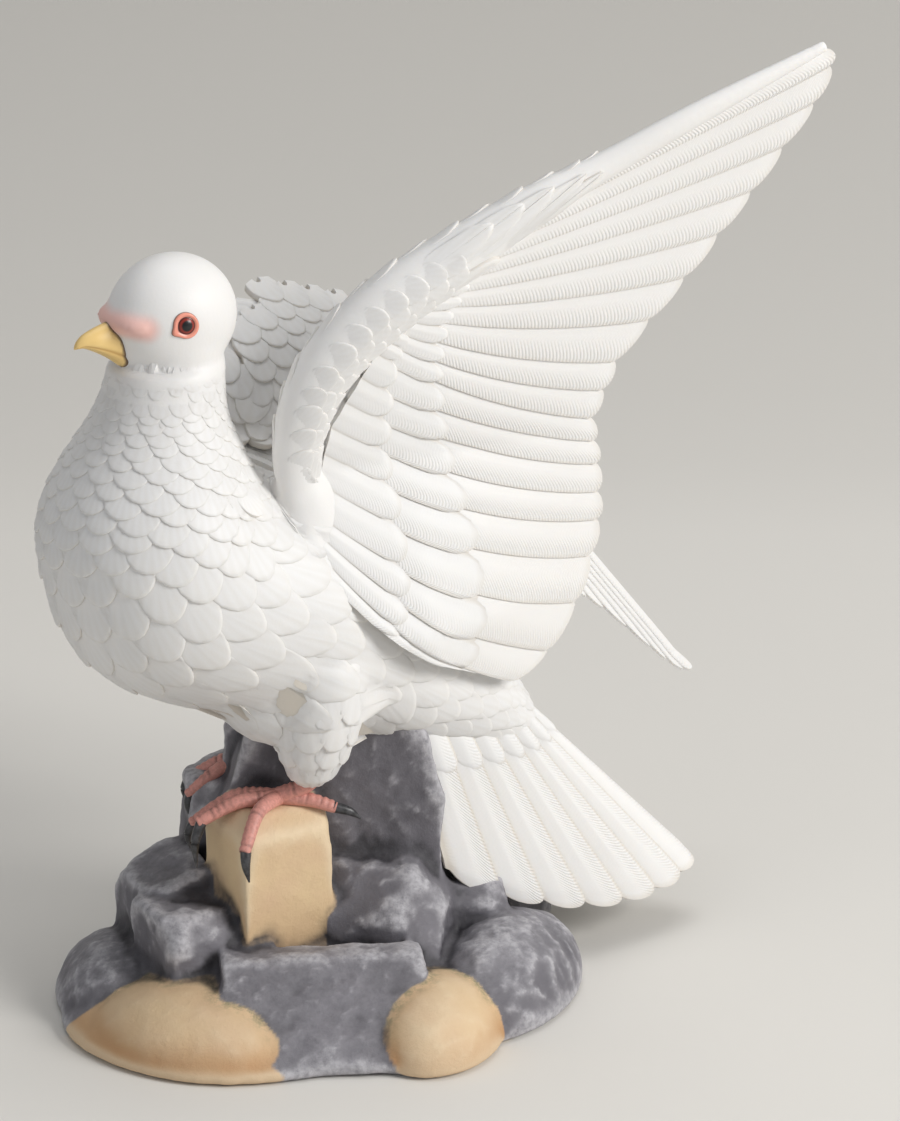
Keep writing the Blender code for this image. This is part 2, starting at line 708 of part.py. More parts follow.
def round_boulder(centre, half_sizes, yaw, segments=14, rings=8):
    """The upper part of an egg that lies on the foot."""
    bm = bmesh.new()
    bmesh.ops.create_uvsphere(bm, u_segments=segments, v_segments=rings, radius=1.0)
    scale = np.array([ROCK, ROCK, RISE])
    bm.transform(Matrix.Rotation(math.radians(yaw), 4, "Z") @ Matrix.Diagonal((*(half_sizes * scale), 1.0)))
    bm.transform(Matrix.Translation(Vector(centre * scale)))
    everything = bm.verts[:] + bm.edges[:] + bm.faces[:]
    low = Vector((0, 0, BOULDER_BOTTOM * RISE))
    cut = bmesh.ops.bisect_plane(bm, geom=everything, plane_co=low, plane_no=(0, 0, -1), clear_outer=True)
    bmesh.ops.edgeloop_fill(bm, edges=[e for e in cut["geom_cut"] if isinstance(e, bmesh.types.BMEdge)])
    return object_from_bmesh("round_boulder", bm)


def bird_cutters():
    """The lower bird, grown by the seat gap, which the rock is cut by."""
    relief = CUTTER_RELIEF + SEAT_GAP / SHARE
    cutters = [plain_loft("belly_cutter", body_frames(), 28, 28, relief), tail_cutter()]
    for rows, foot, toes in ((LEFT_THIGH, LEFT_FOOT, LEFT_TOES), (RIGHT_THIGH, RIGHT_FOOT, RIGHT_TOES)):
        frames = thigh_frames(rows)[::-1]
        frames[0, 2] -= relief
        cutters.append(plain_loft("thigh_cutter", frames, 8, 12, relief))
        cutters += leg_parts(rows, foot, toes, SEAT_GAP)
    return cutters


def tail_cutter():
    """A plain slab with the tail's arch, thicker than the tail by the seat gap and its feathers' relief."""
    start, ray, length, face = tail_ray(np.linspace(0, TAIL_FEATHERS, TAIL_FEATHERS + 1))
    half = face * (TAIL_SLOT_HALF + SEAT_GAP / SHARE)
    tip = start + ray * (length + 3)
    rings = np.stack([start + half, tip + half, tip - half, start - half], 1)
    return loft("tail_cutter", on_bird(rings))


def make_base(finish):
    base = foot_slab()
    boulders = [chipped_block("boulder", *row) for row in BOULDERS]
    boulders += [round_boulder(*row) for row in ROUND_BOULDERS]
    boolean(base, boulders, "UNION")
    boolean(base, bird_cutters(), "DIFFERENCE")
    base.data.materials.clear()
    base.data.materials.append(finish)
    return base


def main():
    clear_scene()
    new_collection(COLLECTION)
    new_collection(CUTTERS, hidden=True)
    porcelain = material("white_bisque", (0.86, 0.85, 0.83), 0.55)
    painted_rock = material("painted_rock", (0.33, 0.31, 0.34), 0.6)
    make_dove(porcelain)
    make_base(painted_rock)


main()
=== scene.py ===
"""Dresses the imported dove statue: carved white plumage, painted bill, eyes and feet, and a painted rock.

Lengths in the tables are millimetres of the statue at its stated size, measured from where the bird stands.
"""

import math

import bmesh
import bpy
import numpy as np
from bpy.props import FloatProperty, FloatVectorProperty, IntProperty, PointerProperty
from mathutils import Matrix, Vector, noise
from mathutils.bvhtree import BVHTree


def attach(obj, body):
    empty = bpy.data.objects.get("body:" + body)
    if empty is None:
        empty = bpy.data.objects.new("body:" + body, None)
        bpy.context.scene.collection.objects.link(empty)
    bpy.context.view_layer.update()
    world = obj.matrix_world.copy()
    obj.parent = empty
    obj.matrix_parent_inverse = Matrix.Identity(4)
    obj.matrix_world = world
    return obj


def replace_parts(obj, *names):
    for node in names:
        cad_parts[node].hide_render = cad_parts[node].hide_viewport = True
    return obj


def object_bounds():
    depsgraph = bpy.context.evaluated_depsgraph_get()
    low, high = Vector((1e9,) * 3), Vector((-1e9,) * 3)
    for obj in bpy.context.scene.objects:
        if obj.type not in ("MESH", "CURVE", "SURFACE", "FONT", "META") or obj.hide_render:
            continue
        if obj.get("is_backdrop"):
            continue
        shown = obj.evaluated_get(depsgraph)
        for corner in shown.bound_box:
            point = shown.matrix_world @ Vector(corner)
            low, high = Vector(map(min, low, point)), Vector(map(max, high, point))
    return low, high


bl_info = {
    "name": "Porcelain Dove Statue",
    "version": (1, 0, 0),
    "blender": (4, 5, 0),
    "location": "3D View > Sidebar > Dove statue",
    "description": "Builds the carved and painted surface of a porcelain dove round its plain solids",
    "category": "Object",
}

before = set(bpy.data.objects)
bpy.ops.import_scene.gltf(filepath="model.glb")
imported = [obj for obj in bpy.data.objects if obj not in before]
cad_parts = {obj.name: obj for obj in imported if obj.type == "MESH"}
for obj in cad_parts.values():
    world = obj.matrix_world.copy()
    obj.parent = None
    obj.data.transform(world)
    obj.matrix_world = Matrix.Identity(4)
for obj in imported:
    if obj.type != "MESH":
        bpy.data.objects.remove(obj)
CAD_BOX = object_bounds()

# Where the bird stands on the rock, and the size of one millimetre of it
STAND = np.array([-0.013, -0.008, 0.074])
SHARE = 0.001
WHITE_SLOT = "white_bisque"


# Settings that a user would change


def length(name, description, default):
    return FloatProperty(name=name, description=description, default=default, unit="LENGTH", precision=5)


def share(name, description, default):
    return FloatProperty(
        name=name, description=description, default=default, min=0.0, max=1.0, subtype="FACTOR"
    )


def colour(name, description, default):
    return FloatVectorProperty(
        name=name, description=description, default=default, subtype="COLOR", size=3, min=0, max=1
    )


class DovePlumage(bpy.types.PropertyGroup):
    scale_lift: length("Feather lift", "How far a breast feather's tip stands off the body", 0.0011)
    fluting: length("Fluting", "Depth of the carved barbs of the body feathers", 0.00022)
    vane_step: length("Vane step", "Step from one flight feather to the next", 0.0009)
    covert_step: length("Covert step", "Height of one row of coverts over the next", 0.0014)
    barb_depth: length("Barb depth", "Depth of the fine hatching on wings and tail", 0.00025)
    core_grain: length("Core grain", "Cell size of the smooth body under the feathers", 0.0012)
    uneven: share("Unevenness", "How much feathers differ from their neighbours", 0.35)


class DovePaint(bpy.types.PropertyGroup):
    bisque: colour("Bisque", "Colour of the unglazed porcelain", (0.81, 0.80, 0.785))
    # Painted shade: groove is a warmer, darker colour put in grooves, under feather rims and in barb dips,
    # where shade falls
    groove: colour("Groove", "Warmer colour that gathers in the grooves", (0.62, 0.56, 0.47))
    bill: colour("Bill", "Yellow ochre of the bill", (0.80, 0.55, 0.20))
    bill_line: colour("Bill line", "Brown line round the bill", (0.13, 0.08, 0.045))
    cere: colour("Cere", "Pink blush over the bill", (0.82, 0.50, 0.44))
    eyelid: colour("Eyelid", "Salmon rim of the eye", (0.78, 0.30, 0.22))
    iris: colour("Iris", "Dark red of the iris", (0.17, 0.018, 0.012))
    pupil: colour("Pupil", "Black of the pupil", (0.008, 0.008, 0.01))
    toe: colour("Toes", "Coral pink of the toes", (0.66, 0.30, 0.25))
    toe_line: colour("Toe lines", "Dark lines between the toe's scutes", (0.13, 0.06, 0.05))
    claw: colour("Claws", "Charcoal of the claws", (0.028, 0.028, 0.03))
    rock: colour("Rock", "Grey violet of the rock", (0.115, 0.11, 0.125))
    # Partly the rock's dry-brushed paint and partly painted highlight on edges and upward faces
    rock_drybrush_and_highlight: colour("Rock highlights", "Dry-brushed light on edges and tops", (0.47, 0.46, 0.485))
    # Near-black in the recesses: partly the rock's dark wash, partly painted shade
    rock_wash_and_shade: colour("Rock recesses", "Near-black wash in the recesses", (0.03, 0.028, 0.033))
    tan: colour("Tan boulders", "Warm tan of some boulders", (0.68, 0.48, 0.30))
    tan_deep: colour("Deep tan", "Orange brown low on the tan boulders", (0.50, 0.28, 0.13))
    moss: colour("Moss", "Dull green speckle on the tan patches", (0.17, 0.19, 0.11))


class DoveRock(bpy.types.PropertyGroup):
    grain: length("Rock grain", "Cell size of the modelled rock", 0.00105)
    roughness: length("Roughness", "Height of the rock's fine relief", 0.0007)
    swell: length("Swell", "Height of the rock's broad unevenness", 0.0020)
    soften: IntProperty(name="Softening", description="How often edges are eased", default=22, min=0, max=60)


class DoveStage(bpy.types.PropertyGroup):
    floor: colour("Floor", "Pale floor", (0.74, 0.72, 0.68))
    # Painted shade: the floor and its sweep are painted darker towards this colour the further back they lie
    far_floor_shade: colour("Backdrop", "Warm grey behind the floor", (0.41, 0.395, 0.365))
    distance: length("Camera distance", "From the camera to the bird's middle", 1.6)
    elevation: FloatProperty(
        name="Camera elevation",
        description="Angle above the horizon",
        default=math.radians(20),
        subtype="ANGLE",
    )


# Curves through tables


def through(table, where):
    """A smooth curve through the table's rows, read at the given row positions."""
    table = np.asarray(table, float)
    last = len(table) - 1
    where = np.clip(np.atleast_1d(where).astype(float), 0, last)
    low = np.minimum(where.astype(int), last - 1)
    part = (where - low)[:, None]
    before = table[np.maximum(low - 1, 0)]
    start = table[low]
    end = table[low + 1]
    after = table[np.minimum(low + 2, last)]
    return 0.5 * (
        2 * start
        + (end - before) * part
        + (2 * before - 5 * start + 4 * end - after) * part**2
        + (3 * start - before - 3 * end + after) * part**3
    )


def keyed(keys, values, where):
    """Values read between keys, with the ends held."""
    values = np.asarray(values, float)
    if values.ndim == 1:
        return np.interp(where, keys, values)
    return np.stack([np.interp(where, keys, column) for column in values.T], -1)


def eased(low, high, value):
    """A soft step from 0 at low to 1 at high."""
    part = np.clip((np.asarray(value, float) - low) / (high - low), 0, 1)
    return part * part * (3 - 2 * part)


def turn(degrees):
    return math.cos(math.radians(degrees)), math.sin(math.radians(degrees))


def heading_axes(degrees):
    """Forward, left and up for something that faces the given heading."""
    c, s = turn(degrees)
    return np.array([[-c, -s, 0.0], [s, -c, 0.0], [0.0, 0.0, 1.0]])


def unit(vectors):
    return vectors / np.maximum(np.linalg.norm(vectors, axis=-1, keepdims=True), 1e-9)


def on_bird(points):
    """Points in millimetres from where the bird stands, as world positions."""
    return STAND + SHARE * np.asarray(points, float)


# Gathering closed shells into one mesh


class Shells:
    """Closed shells of one piece, with the values that its paint reads at each point."""

    def __init__(self):
        self.points, self.faces, self.values, self.count = [], [], [], 0

    def add(self, points, faces, values):
        self.points.append(np.asarray(points, float).reshape(-1, 3))
        self.values.append(np.asarray(values, float).reshape(-1, 3))
        self.faces += [tuple(i + self.count for i in face) for face in faces]
        self.count += len(self.points[-1])

    def slab(self, top, under, values):
        """A thin plate between two grids of points."""
        rows, columns = top.shape[:2]
        index = np.arange(rows * columns).reshape(rows, columns)
        faces = quads(index) + quads(index[::-1] + index.size)
        rim = border(index)
        for a, b in zip(rim, rim[1:] + rim[:1]):
            faces.append((b, a, a + index.size, b + index.size))
        both = np.concatenate([top.reshape(-1, 3), under.reshape(-1, 3)])
        self.add(both, faces, np.tile(values.reshape(-1, 3), (2, 1)))

    def cushion(self, top, down, values):
        """A grid of points whose rim is carried down by a vector field and closed under it."""
        rows, columns = top.shape[:2]
        index = np.arange(rows * columns).reshape(rows, columns)
        rim = border(index)
        faces = quads(index)
        for i, (a, b) in enumerate(zip(rim, rim[1:] + rim[:1])):
            faces.append((b, a, index.size + i, index.size + (i + 1) % len(rim)))
        faces.append(tuple(index.size + i for i in range(len(rim))))
        flat, sunk = top.reshape(-1, 3), down.reshape(-1, 3)
        paint = values.reshape(-1, 3)
        skirt = paint[rim].copy()
        # The skirt under the rim gets the full groove value: painted shade under the feather's edge
        skirt[:, 0] = 1.0
        self.add(np.concatenate([flat, flat[rim] + sunk[rim]]), faces, np.concatenate([paint, skirt]))

    def build(self, name, finish, slot, smooth_angle=50):
        mesh = bpy.data.meshes.new(name)
        mesh.from_pydata(np.concatenate(self.points).tolist(), [], self.faces)
        values = np.concatenate(self.values)
        for column, label in enumerate(("groove", "barb_phase", "barb_strength")):
            stored(mesh, label, values[:, column])
        return dressed(name, mesh, finish, smooth_angle)


def stored(mesh, label, values):
    """Keeps one value for each vertex, under a name that the paint reads."""
    layer = mesh.attributes.new(label, "FLOAT", "POINT")
    layer.data.foreach_set("value", values.astype(np.float32))


def vertex_rows(mesh, label):
    """Every vertex's place ("co") or normal, a row each."""
    values = np.empty(len(mesh.vertices) * 3)
    mesh.vertices.foreach_get(label, values)
    return values.reshape(-1, 3)


def quads(index):
    a, b, c, d = index[:-1, :-1], index[:-1, 1:], index[1:, 1:], index[1:, :-1]
    return np.stack([a, b, c, d], -1).reshape(-1, 4).tolist()


def border(index):
    return [*index[0, :-1], *index[:-1, -1], *index[-1, :0:-1], *index[:0:-1, 0]]


def dressed(name, mesh, finish, smooth_angle=50):
    """A finished piece that rides on the statue."""
    bm = bmesh.new()
    bm.from_mesh(mesh)
    bmesh.ops.recalc_face_normals(bm, faces=bm.faces)
    bm.to_mesh(mesh)
    bm.free()
    mesh.materials.append(finish)
    mesh.shade_smooth()
    mesh.set_sharp_from_angle(angle=math.radians(smooth_angle))
    piece = bpy.data.objects.new(name, mesh)
    bpy.context.scene.collection.objects.link(piece)
    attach(piece, "root")
    return piece


def melted(name, meshes, cell, smoothing):
    """The meshes run together into one smooth closed skin."""
    bm = bmesh.new()
    for mesh in meshes:
        bm.from_mesh(mesh)
        bpy.data.meshes.remove(mesh)
    joined = bpy.data.meshes.new(name)
    bm.to_mesh(joined)
    bm.free()
    holder = bpy.data.objects.new(name, joined)
    bpy.context.scene.collection.objects.link(holder)
    remesh = holder.modifiers.new("Remesh", "REMESH")
    remesh.mode = "VOXEL"
    remesh.voxel_size = cell
    ease = holder.modifiers.new("Ease", "SMOOTH")
    ease.factor = 0.5
    ease.iterations = smoothing
    bpy.context.view_layer.update()
    graph = bpy.context.evaluated_depsgraph_get()
    skin = bpy.data.meshes.new_from_object(holder.evaluated_get(graph))
    bpy.data.objects.remove(holder, do_unlink=True)
    bpy.data.meshes.remove(joined)
    skin.name = name
    return skin


def mesh_of(name, rings):
    """A closed loft over rings of equal count."""
    bm = bmesh.new()
    made = [[bm.verts.new(point) for point in ring] for ring in rings]
    count = len(made[0])
    for ring, following in zip(made, made[1:]):
        for i in range(count):
            j = (i + 1) % count
            bm.faces.new((ring[i], ring[j], following[j], following[i]))
    bm.faces.new(made[0])
    bm.faces.new(made[-1])
    bmesh.ops.recalc_face_normals(bm, faces=bm.faces)
    mesh = bpy.data.meshes.new(name)
    bm.to_mesh(mesh)
    bm.free()
    return mesh


def egg(name, centre, half_sizes, axes, segments=40, rings=24):
    bm = bmesh.new()
    bmesh.ops.create_uvsphere(bm, u_segments=segments, v_segments=rings, radius=1.0)
    bm.transform(Matrix([[*(axes[:, i] * half_sizes), centre[i]] for i in range(3)] + [[0, 0, 0, 1]]))
    mesh = bpy.data.meshes.new(name)
    bm.to_mesh(mesh)
    bm.free()
    return mesh


class Ground:
    """A smooth mesh that feathers are laid on."""

    def __init__(self, mesh):
        self.points = vertex_rows(mesh, "co")
        self.normals = vertex_rows(mesh, "normal")
        self.corners = [tuple(face.vertices) for face in mesh.polygons]
        self.tree = BVHTree.FromPolygons(self.points.tolist(), self.corners)

    def settle(self, points):
        """The nearest places on the ground, and which way it faces there."""
        places, ways = [], []
        for point in points:
            place, _, face, _ = self.tree.find_nearest(Vector(point))
            corners = list(self.corners[face])
            weight = 1 / (np.linalg.norm(self.points[corners] - place, axis=1) + 1e-6)
            places.append(place)
            ways.append(weight @ self.normals[corners])
        return np.array(places), unit(np.array(ways))


# Feathers


FAN_SPREAD = 1.2
FAN_ROWS = np.array([0.22, 0.5, 0.7, 0.84, 0.93, 0.985, 1.0])
# How far a body feather's rim is carried below its root, in metres
FAN_SKIRT = 0.0012


def fan_grid(width, reach, columns):
    """Radial grid of a round-ended feather in its own plane: across and along, rows from root to tip."""
    even = np.linspace(-1, 1, columns)
    angles = FAN_SPREAD * np.sign(even) * np.abs(even) ** max(0.8 * reach / width, 1.0)
    half, deep = width / 2, reach * 0.56
    middle = reach - deep
    s, c = np.sin(angles), np.cos(angles)
    square = s**2 / half**2 + c**2 / deep**2
    straight = c * middle / deep**2
    rest = middle**2 / deep**2 - 1
    rim = (straight + np.sqrt(straight**2 - square * rest)) / square
    return FAN_ROWS[:, None] * rim * s, FAN_ROWS[:, None] * rim * c


def fan_feather(shells, ground, root, way, width, reach, lift, flute, columns=25, sink=0.3, crown=0.25):
    """One carved body feather on the ground, fluted towards its tip. Lengths in metres."""
    across, along = fan_grid(width, reach, columns)
    _, normal = ground.settle([root])
    way = unit(way - normal[0] * (way @ normal[0]))
    side = np.cross(way, normal[0])
    flat = root + across[..., None] * side + along[..., None] * way
    places, normals = ground.settle(flat.reshape(-1, 3))
    places, normals = places.reshape(flat.shape), normals.reshape(flat.shape)
    spread = np.linspace(-1, 1, columns)
    rise = -sink * SHARE + (lift + sink * SHARE) * np.clip(along / reach, 0, 1) ** 1.8
    rise = rise + crown * 0.001 * (1 - spread**2) * FAN_ROWS[:, None]
    fluted = eased(0.3, 0.8, FAN_ROWS) * eased(1.04, 0.94, FAN_ROWS)
    ripple = flute * fluted[:, None] * np.where(np.arange(columns) % 2, -0.5, 0.5)
    drop = np.interp(FAN_ROWS, (0.84, 0.93, 0.985, 1.0), (0.0, 0.03, 0.15, 0.4))[:, None] * lift
    rise = rise + ripple - drop
    # Painted shade: darker towards the feather's tip rim and in the troughs of its flutes
    groove = np.interp(FAN_ROWS, (0.84, 0.985, 1.0), (0.0, 0.08, 0.45))[:, None] * np.ones(columns)
    groove = groove + 0.16 * (ripple < 0) * fluted[:, None]
    values = np.stack([groove, np.zeros_like(groove), np.zeros_like(groove)], -1)
    shells.cushion(places + normals * rise[..., None], -normals * (lift + FAN_SKIRT), values)


class Vanes:
    """A fan of long feathers. Its curves lie in a plane of their own, numbered by feather position."""

    # tint sets how strongly painted shade darkens the feathers' edges and tips
    def __init__(self, surface, face, root, bend, tip, slope, thick, pitch=1.25, crown=0.4, tint=0.4):
        self.surface, self.face, self.root, self.bend, self.tip = surface, face, root, bend, tip
        self.slope, self.thick, self.pitch, self.crown, self.tint = slope, thick, pitch, crown, tint

    def lay(
        self, shells, order, until, lobe, lift,
        rows=26, columns=11, wide=(-0.14, 1.03), shaft=0.40, start=0.0,
    ):
        """One feather from its root, ending at a share of the full length in a round lobe."""
        part = np.linspace(*wide, columns)
        q = order + part
        inside = np.clip(part, 0, 1)
        roundness = np.sqrt(np.clip(1 - (2 * inside - 1) ** 2, 0, 1))
        root, bend, tip = self.root(q), self.bend(q), self.tip(q)
        if until >= 1:
            end = unit(tip - bend)
            tip = tip + end * (lobe * roundness)[:, None]
            stop = np.ones_like(q)
        else:
            stop = until - lobe * (1 - roundness)
        along = start + (stop - start)[:, None] * np.linspace(0, 1, rows) ** 0.9
        t = along[..., None]
        flat = root[:, None] * (1 - t) ** 2 + 2 * bend[:, None] * t * (1 - t) + tip[:, None] * t**2
        middle = self.surface(flat)
        face = np.broadcast_to(self.face(q)[:, None], middle.shape)
        ease_in = np.clip(along * 3, 0, 1)
        slope = self.slope * ease_in * (part[:, None] - 0.5)
        crown = self.crown * (1 - (2 * inside[:, None] - 1) ** 2)
        rib = 0.28 * np.exp(-(((part[:, None] - shaft) / 0.06) ** 2)) * eased(1.0, 0.75, along)
        near_tip = eased(0.93, 1.0, (along - start) / (stop - start)[:, None])
        half = 0.5 * self.thick(along)
        body = (half + crown) * (1 - 0.45 * near_tip)
        front = middle + face * (body + rib + lift + slope)[..., None]
        back = middle - face * (body + 0.6 * rib + 0.6 * lift - slope)[..., None]
        run = np.linalg.norm(np.diff(middle, axis=1), axis=2)
        reach = np.concatenate([np.zeros((columns, 1)), np.cumsum(run, 1)], 1)
        breadth = np.linalg.norm(middle[-1] - middle[0], axis=1)
        aside = np.abs(part[:, None] - shaft) * breadth / (wide[1] - wide[0])
        phase = (reach[columns // 2] - 0.95 * aside) / self.pitch
        strength = (0.1 + 0.9 * eased(shaft, 0.85, part))[:, None] * eased(0.0, 0.35, along)
        strength = strength * eased(0.0, 0.06, np.abs(part[:, None] - shaft))
        # Painted shade: darker along each feather's edges and at its tip, where it overlaps the next
        edge = np.maximum(eased(0.10, 0.0, part), 0.85 * eased(0.93, 1.03, part))[:, None]
        at_tip = 0.6 * eased(0.975, 1.0, (along - start) / (stop - start)[:, None])
        groove = self.tint * np.maximum(edge * np.ones_like(along), at_tip)
        values = np.stack([groove, phase, strength], -1)
        shells.slab(on_bird(front), on_bird(back), values)


def bowed(start, end, bow):
    """The middle control point of feathers that bow sideways in their own plane."""
    run = unit(end - start)
    side = np.stack([-run[:, 1], run[:, 0]], -1)
    return (start + end) / 2 + side * np.reshape(bow, (-1, 1))


# The bird's body


BODY_AXES = heading_axes(25.0)
HEAD_AXES = heading_axes(33.0)
HEAD_CENTRE = np.array([34.1, 0.0, 170.5]) @ BODY_AXES

# Belly forward and up, back forward and up, half width, from the rump to the top of the neck
BODY_STATIONS = (
    (-96, -4, -94, 18, 8),
    (-76, 0, -84, 33, 17),
    (-46, 9, -67, 50, 25.5),
    (-11, 21, -45, 76, 34),
    (21, 32, -22, 98, 39.5),
    (46, 40.5, -3, 109, 42),
    (64, 52, 5, 113.5, 42.5),
    (74.5, 68, 8.5, 116.5, 42),
    (79.5, 86, 10, 118.5, 40.5),
    (80.5, 100, 11, 121, 38),
    (77, 113, 12.5, 124.5, 34),
    (70.5, 125, 14.5, 130, 28.7),
    (63.5, 135.5, 17, 136.5, 23.8),
    (58.5, 146, 17.8, 146, 20.4),
    (56, 156, 17.3, 156, 19.4),
)
# Place along the body, gap to the next row, feather width, lift as a share, fluting as a share
PLUMAGE = (
    (0.0, 6.0, 9, 0.45, 0.8),
    (1.0, 7.0, 11, 0.5, 0.9),
    (2.0, 8.5, 13, 0.6, 1.0),
    (3.0, 11.5, 18, 0.9, 1.1),
    (4.5, 12.5, 20, 1.0, 1.1),
    (6.0, 11.0, 20, 1.0, 1.1),
    (7.3, 8.5, 19, 1.0, 1.1),
    (8.5, 6.4, 18, 1.0, 1.2),
    (9.6, 5.2, 17, 0.9, 1.1),
    (10.6, 4.2, 15, 0.75, 0.9),
    (11.8, 3.6, 12, 0.6, 0.7),
    (13.0, 3.2, 9, 0.35, 0.4),
    (14.0, 3.0, 8, 0.12, 0.2),
)
# A feather is left out where the skin lies further than this from its place, in metres
BODY_MISS, THIGH_MISS = 0.004, 0.005


def body_frames():
    rows = []
    for belly_f, belly_u, back_f, back_u, half in BODY_STATIONS:
        belly = np.array([belly_f, 0.0, belly_u])
        back = np.array([back_f, 0.0, back_u])
        first = (back - belly) / 2
        second = np.array([0.0, half, 0.0])
        rows.append(np.concatenate([v @ BODY_AXES for v in ((belly + back) / 2, first, second)]))
    return np.array(rows)


def oval(frames, where, angles):
    """Points round the oval sections of a table of frames."""
    row = through(frames, where)
    return row[:, 0:3] + row[:, 3:6] * np.cos(angles)[:, None] + row[:, 6:9] * np.sin(angles)[:, None]


def oval_mesh(name, frames, steps, count, low=0.0):
    angles = np.arange(count) * math.tau / count
    places = np.linspace(low, len(frames) - 1, steps)
    return mesh_of(name, [on_bird(oval(frames, np.full(count, w), angles)) for w in places])


def head_point(forward, left, up):
    return on_bird(HEAD_CENTRE + np.array([forward, left, up]) @ HEAD_AXES)


def core_meshes():
    """The bird's plain masses before they run together."""
    frames = body_frames()
    tilt = heading_axes(33.0)
    meshes = [oval_mesh("trunk", frames, 46, 72)]
    meshes.append(egg("skull", head_point(0.4, 0, 0.6), np.array([22.2, 18.6, 20.6]) * SHARE, tilt))
    meshes.append(egg("face", head_point(8.5, 0, -4.5), np.array([13.4, 12.4, 12.8]) * SHARE, tilt))
    meshes.append(egg("cheeks", head_point(0.0, 0, -8.0), np.array([17.0, 17.6, 13.5]) * SHARE, tilt))
    meshes.append(egg("throat", head_point(3.0, 0, -16.0), np.array([15.0, 14.5, 13.0]) * SHARE, tilt))
    meshes.append(egg("cere", head_point(17.5, 0, 1.7), np.array([7.5, 14.0, 4.5]) * SHARE, tilt))
    for rows in (LEFT_THIGH, RIGHT_THIGH):
        meshes.append(oval_mesh("thigh", thigh_frames(rows), 14, 32))
    meshes.append(egg("lap", on_bird((0, -16, 42)), np.array([20, 16, 19]) * SHARE, np.eye(3)))
    meshes.append(oval_mesh("shoulder", arm_frames()[:4], 8, 28))
    base = on_bird(raised_point((5, -16), -9.0))
    meshes.append(egg("shoulder_base", base, np.array([13, 13, 23]) * SHARE, np.eye(3)))
    return meshes


def plumage_rows(frames):
    """Where each row of body feathers lies, from the neck to the rump."""
    angles = np.linspace(0, math.tau, 60, endpoint=False)
    where, rows = 14.0, []
    table = np.array(PLUMAGE)
    while where > 0.1:
        gap, width, lift, flute = (np.interp(where, table[:, 0], table[:, i]) for i in range(1, 5))
        rows.append((where, gap, width, lift, flute))
        here = oval(frames, np.full(60, where), angles)
        there = oval(frames, np.full(60, where - 0.1), angles)
        where -= 0.1 * gap / np.linalg.norm(here - there, axis=1).mean()
    return rows


def even_angles(frames, where, count, offset):
    """Angles that part an oval section into equal lengths."""
    fine = np.linspace(0, math.tau, 241)
    ring = oval(frames, np.full(241, where), fine)
    reach = np.concatenate([[0], np.cumsum(np.linalg.norm(np.diff(ring, axis=0), axis=1))])
    return np.interp((np.arange(count) + offset) / count * reach[-1], reach, fine)


def lay_plumage(shells, ground, plumage, generator):
    frames = body_frames()
    for order, (where, gap, width, lift, flute) in enumerate(plumage_rows(frames)):
        ring = on_bird(oval(frames, np.full(60, where), np.linspace(0, math.tau, 60, endpoint=False)))
        around = np.linalg.norm(np.diff(np.concatenate([ring, ring[:1]]), axis=0), axis=1).sum() / SHARE
        count = max(int(round(around / (0.74 * width))), 7)
        angles = even_angles(frames, where, count, 0.5 * (order % 2))
        for angle in angles:
            jitter = plumage.uneven * (generator.random(5) - 0.5)
            turned = angle + 0.12 * jitter[1]
            at = on_bird(oval(frames, [where + 0.35 * jitter[0]], np.array([turned])))[0]
            ahead = on_bird(oval(frames, [max(where - 0.2, 0)], np.array([turned + 0.05 * jitter[4]])))[0]
            place, normal = ground.settle([at])
            if np.linalg.norm(place[0] - at) > BODY_MISS:
                continue
            under = eased(-0.35, -0.9, normal[0][2])
            hidden = eased(0.2, 0.8, (normal[0] @ np.array([0.35, 0.93, 0.0])))
            strength = (1 - 0.75 * under) * (1 + 0.5 * jitter[2])
            columns = 25 if width > 14 else 15
            if hidden > 0.5:
                columns = 11
            reach = (2.5 * gap + 0.28 * width) * (1 + 0.3 * jitter[3])
            root = place[0] - unit(ahead - at) * reach * 0.45 * SHARE
            fan_feather(
                shells, ground, root, ahead - at, width * (1 + 0.5 * jitter[3]) * SHARE, reach * SHARE,
                plumage.scale_lift * lift * strength, plumage.fluting * flute * (1 - 0.8 * under), columns,
                crown=0.25 * lift,
            )


# The raised wing lies in a slanting plane that the viewer sees from below
RAISED_ORIGIN = np.array([6.0, -16.0, 115.0])
RAISED_TIP_KEYS = (0, 1, 2, 4, 6, 8, 10, 12, 14, 15, 16, 17, 18, 19)
RAISED_TIPS = (
    (178, 135), (181, 129), (177, 116), (158, 86), (137, 57), (114, 29), (106.5, 9), (109.5, -8), (111, -29),
    (109, -42), (104, -58), (93, -73), (78, -80), (61, -70),
)
RAISED_ROOT_KEYS = (0, 1, 5, 10, 13, 16, 19)
RAISED_ROOTS = ((51, 84), (55, 74), (45, 61), (27, 45), (12, 20), (6, -8), (4, -24))
RAISED_FIRST = ((0, 8, 10, 13, 16, 19), (0.05, 0.07, 0.12, 0.24, 0.33, 0.44))
RAISED_SECOND = ((0, 5, 7, 10, 13, 16, 19), (0.11, 0.13, 0.18, 0.34, 0.49, 0.62, 0.84))
ARM_CENTRE = (
    (4, -24), (1.5, 4), (3.5, 26), (12.5, 44), (30, 61),
    (54, 76), (81.5, 91.5), (102, 101), (137, 118), (180, 137),
)
ARM_HALF = (4.5, 7.5, 9, 10, 10.5, 9.5, 7.0, 5.2, 4.2, 2.0)
# Rows of small feathers over the arm's face, as shares of its half width from its middle line
MARGINAL_ROWS = (0.95, 0.5, 0.02, -0.46)
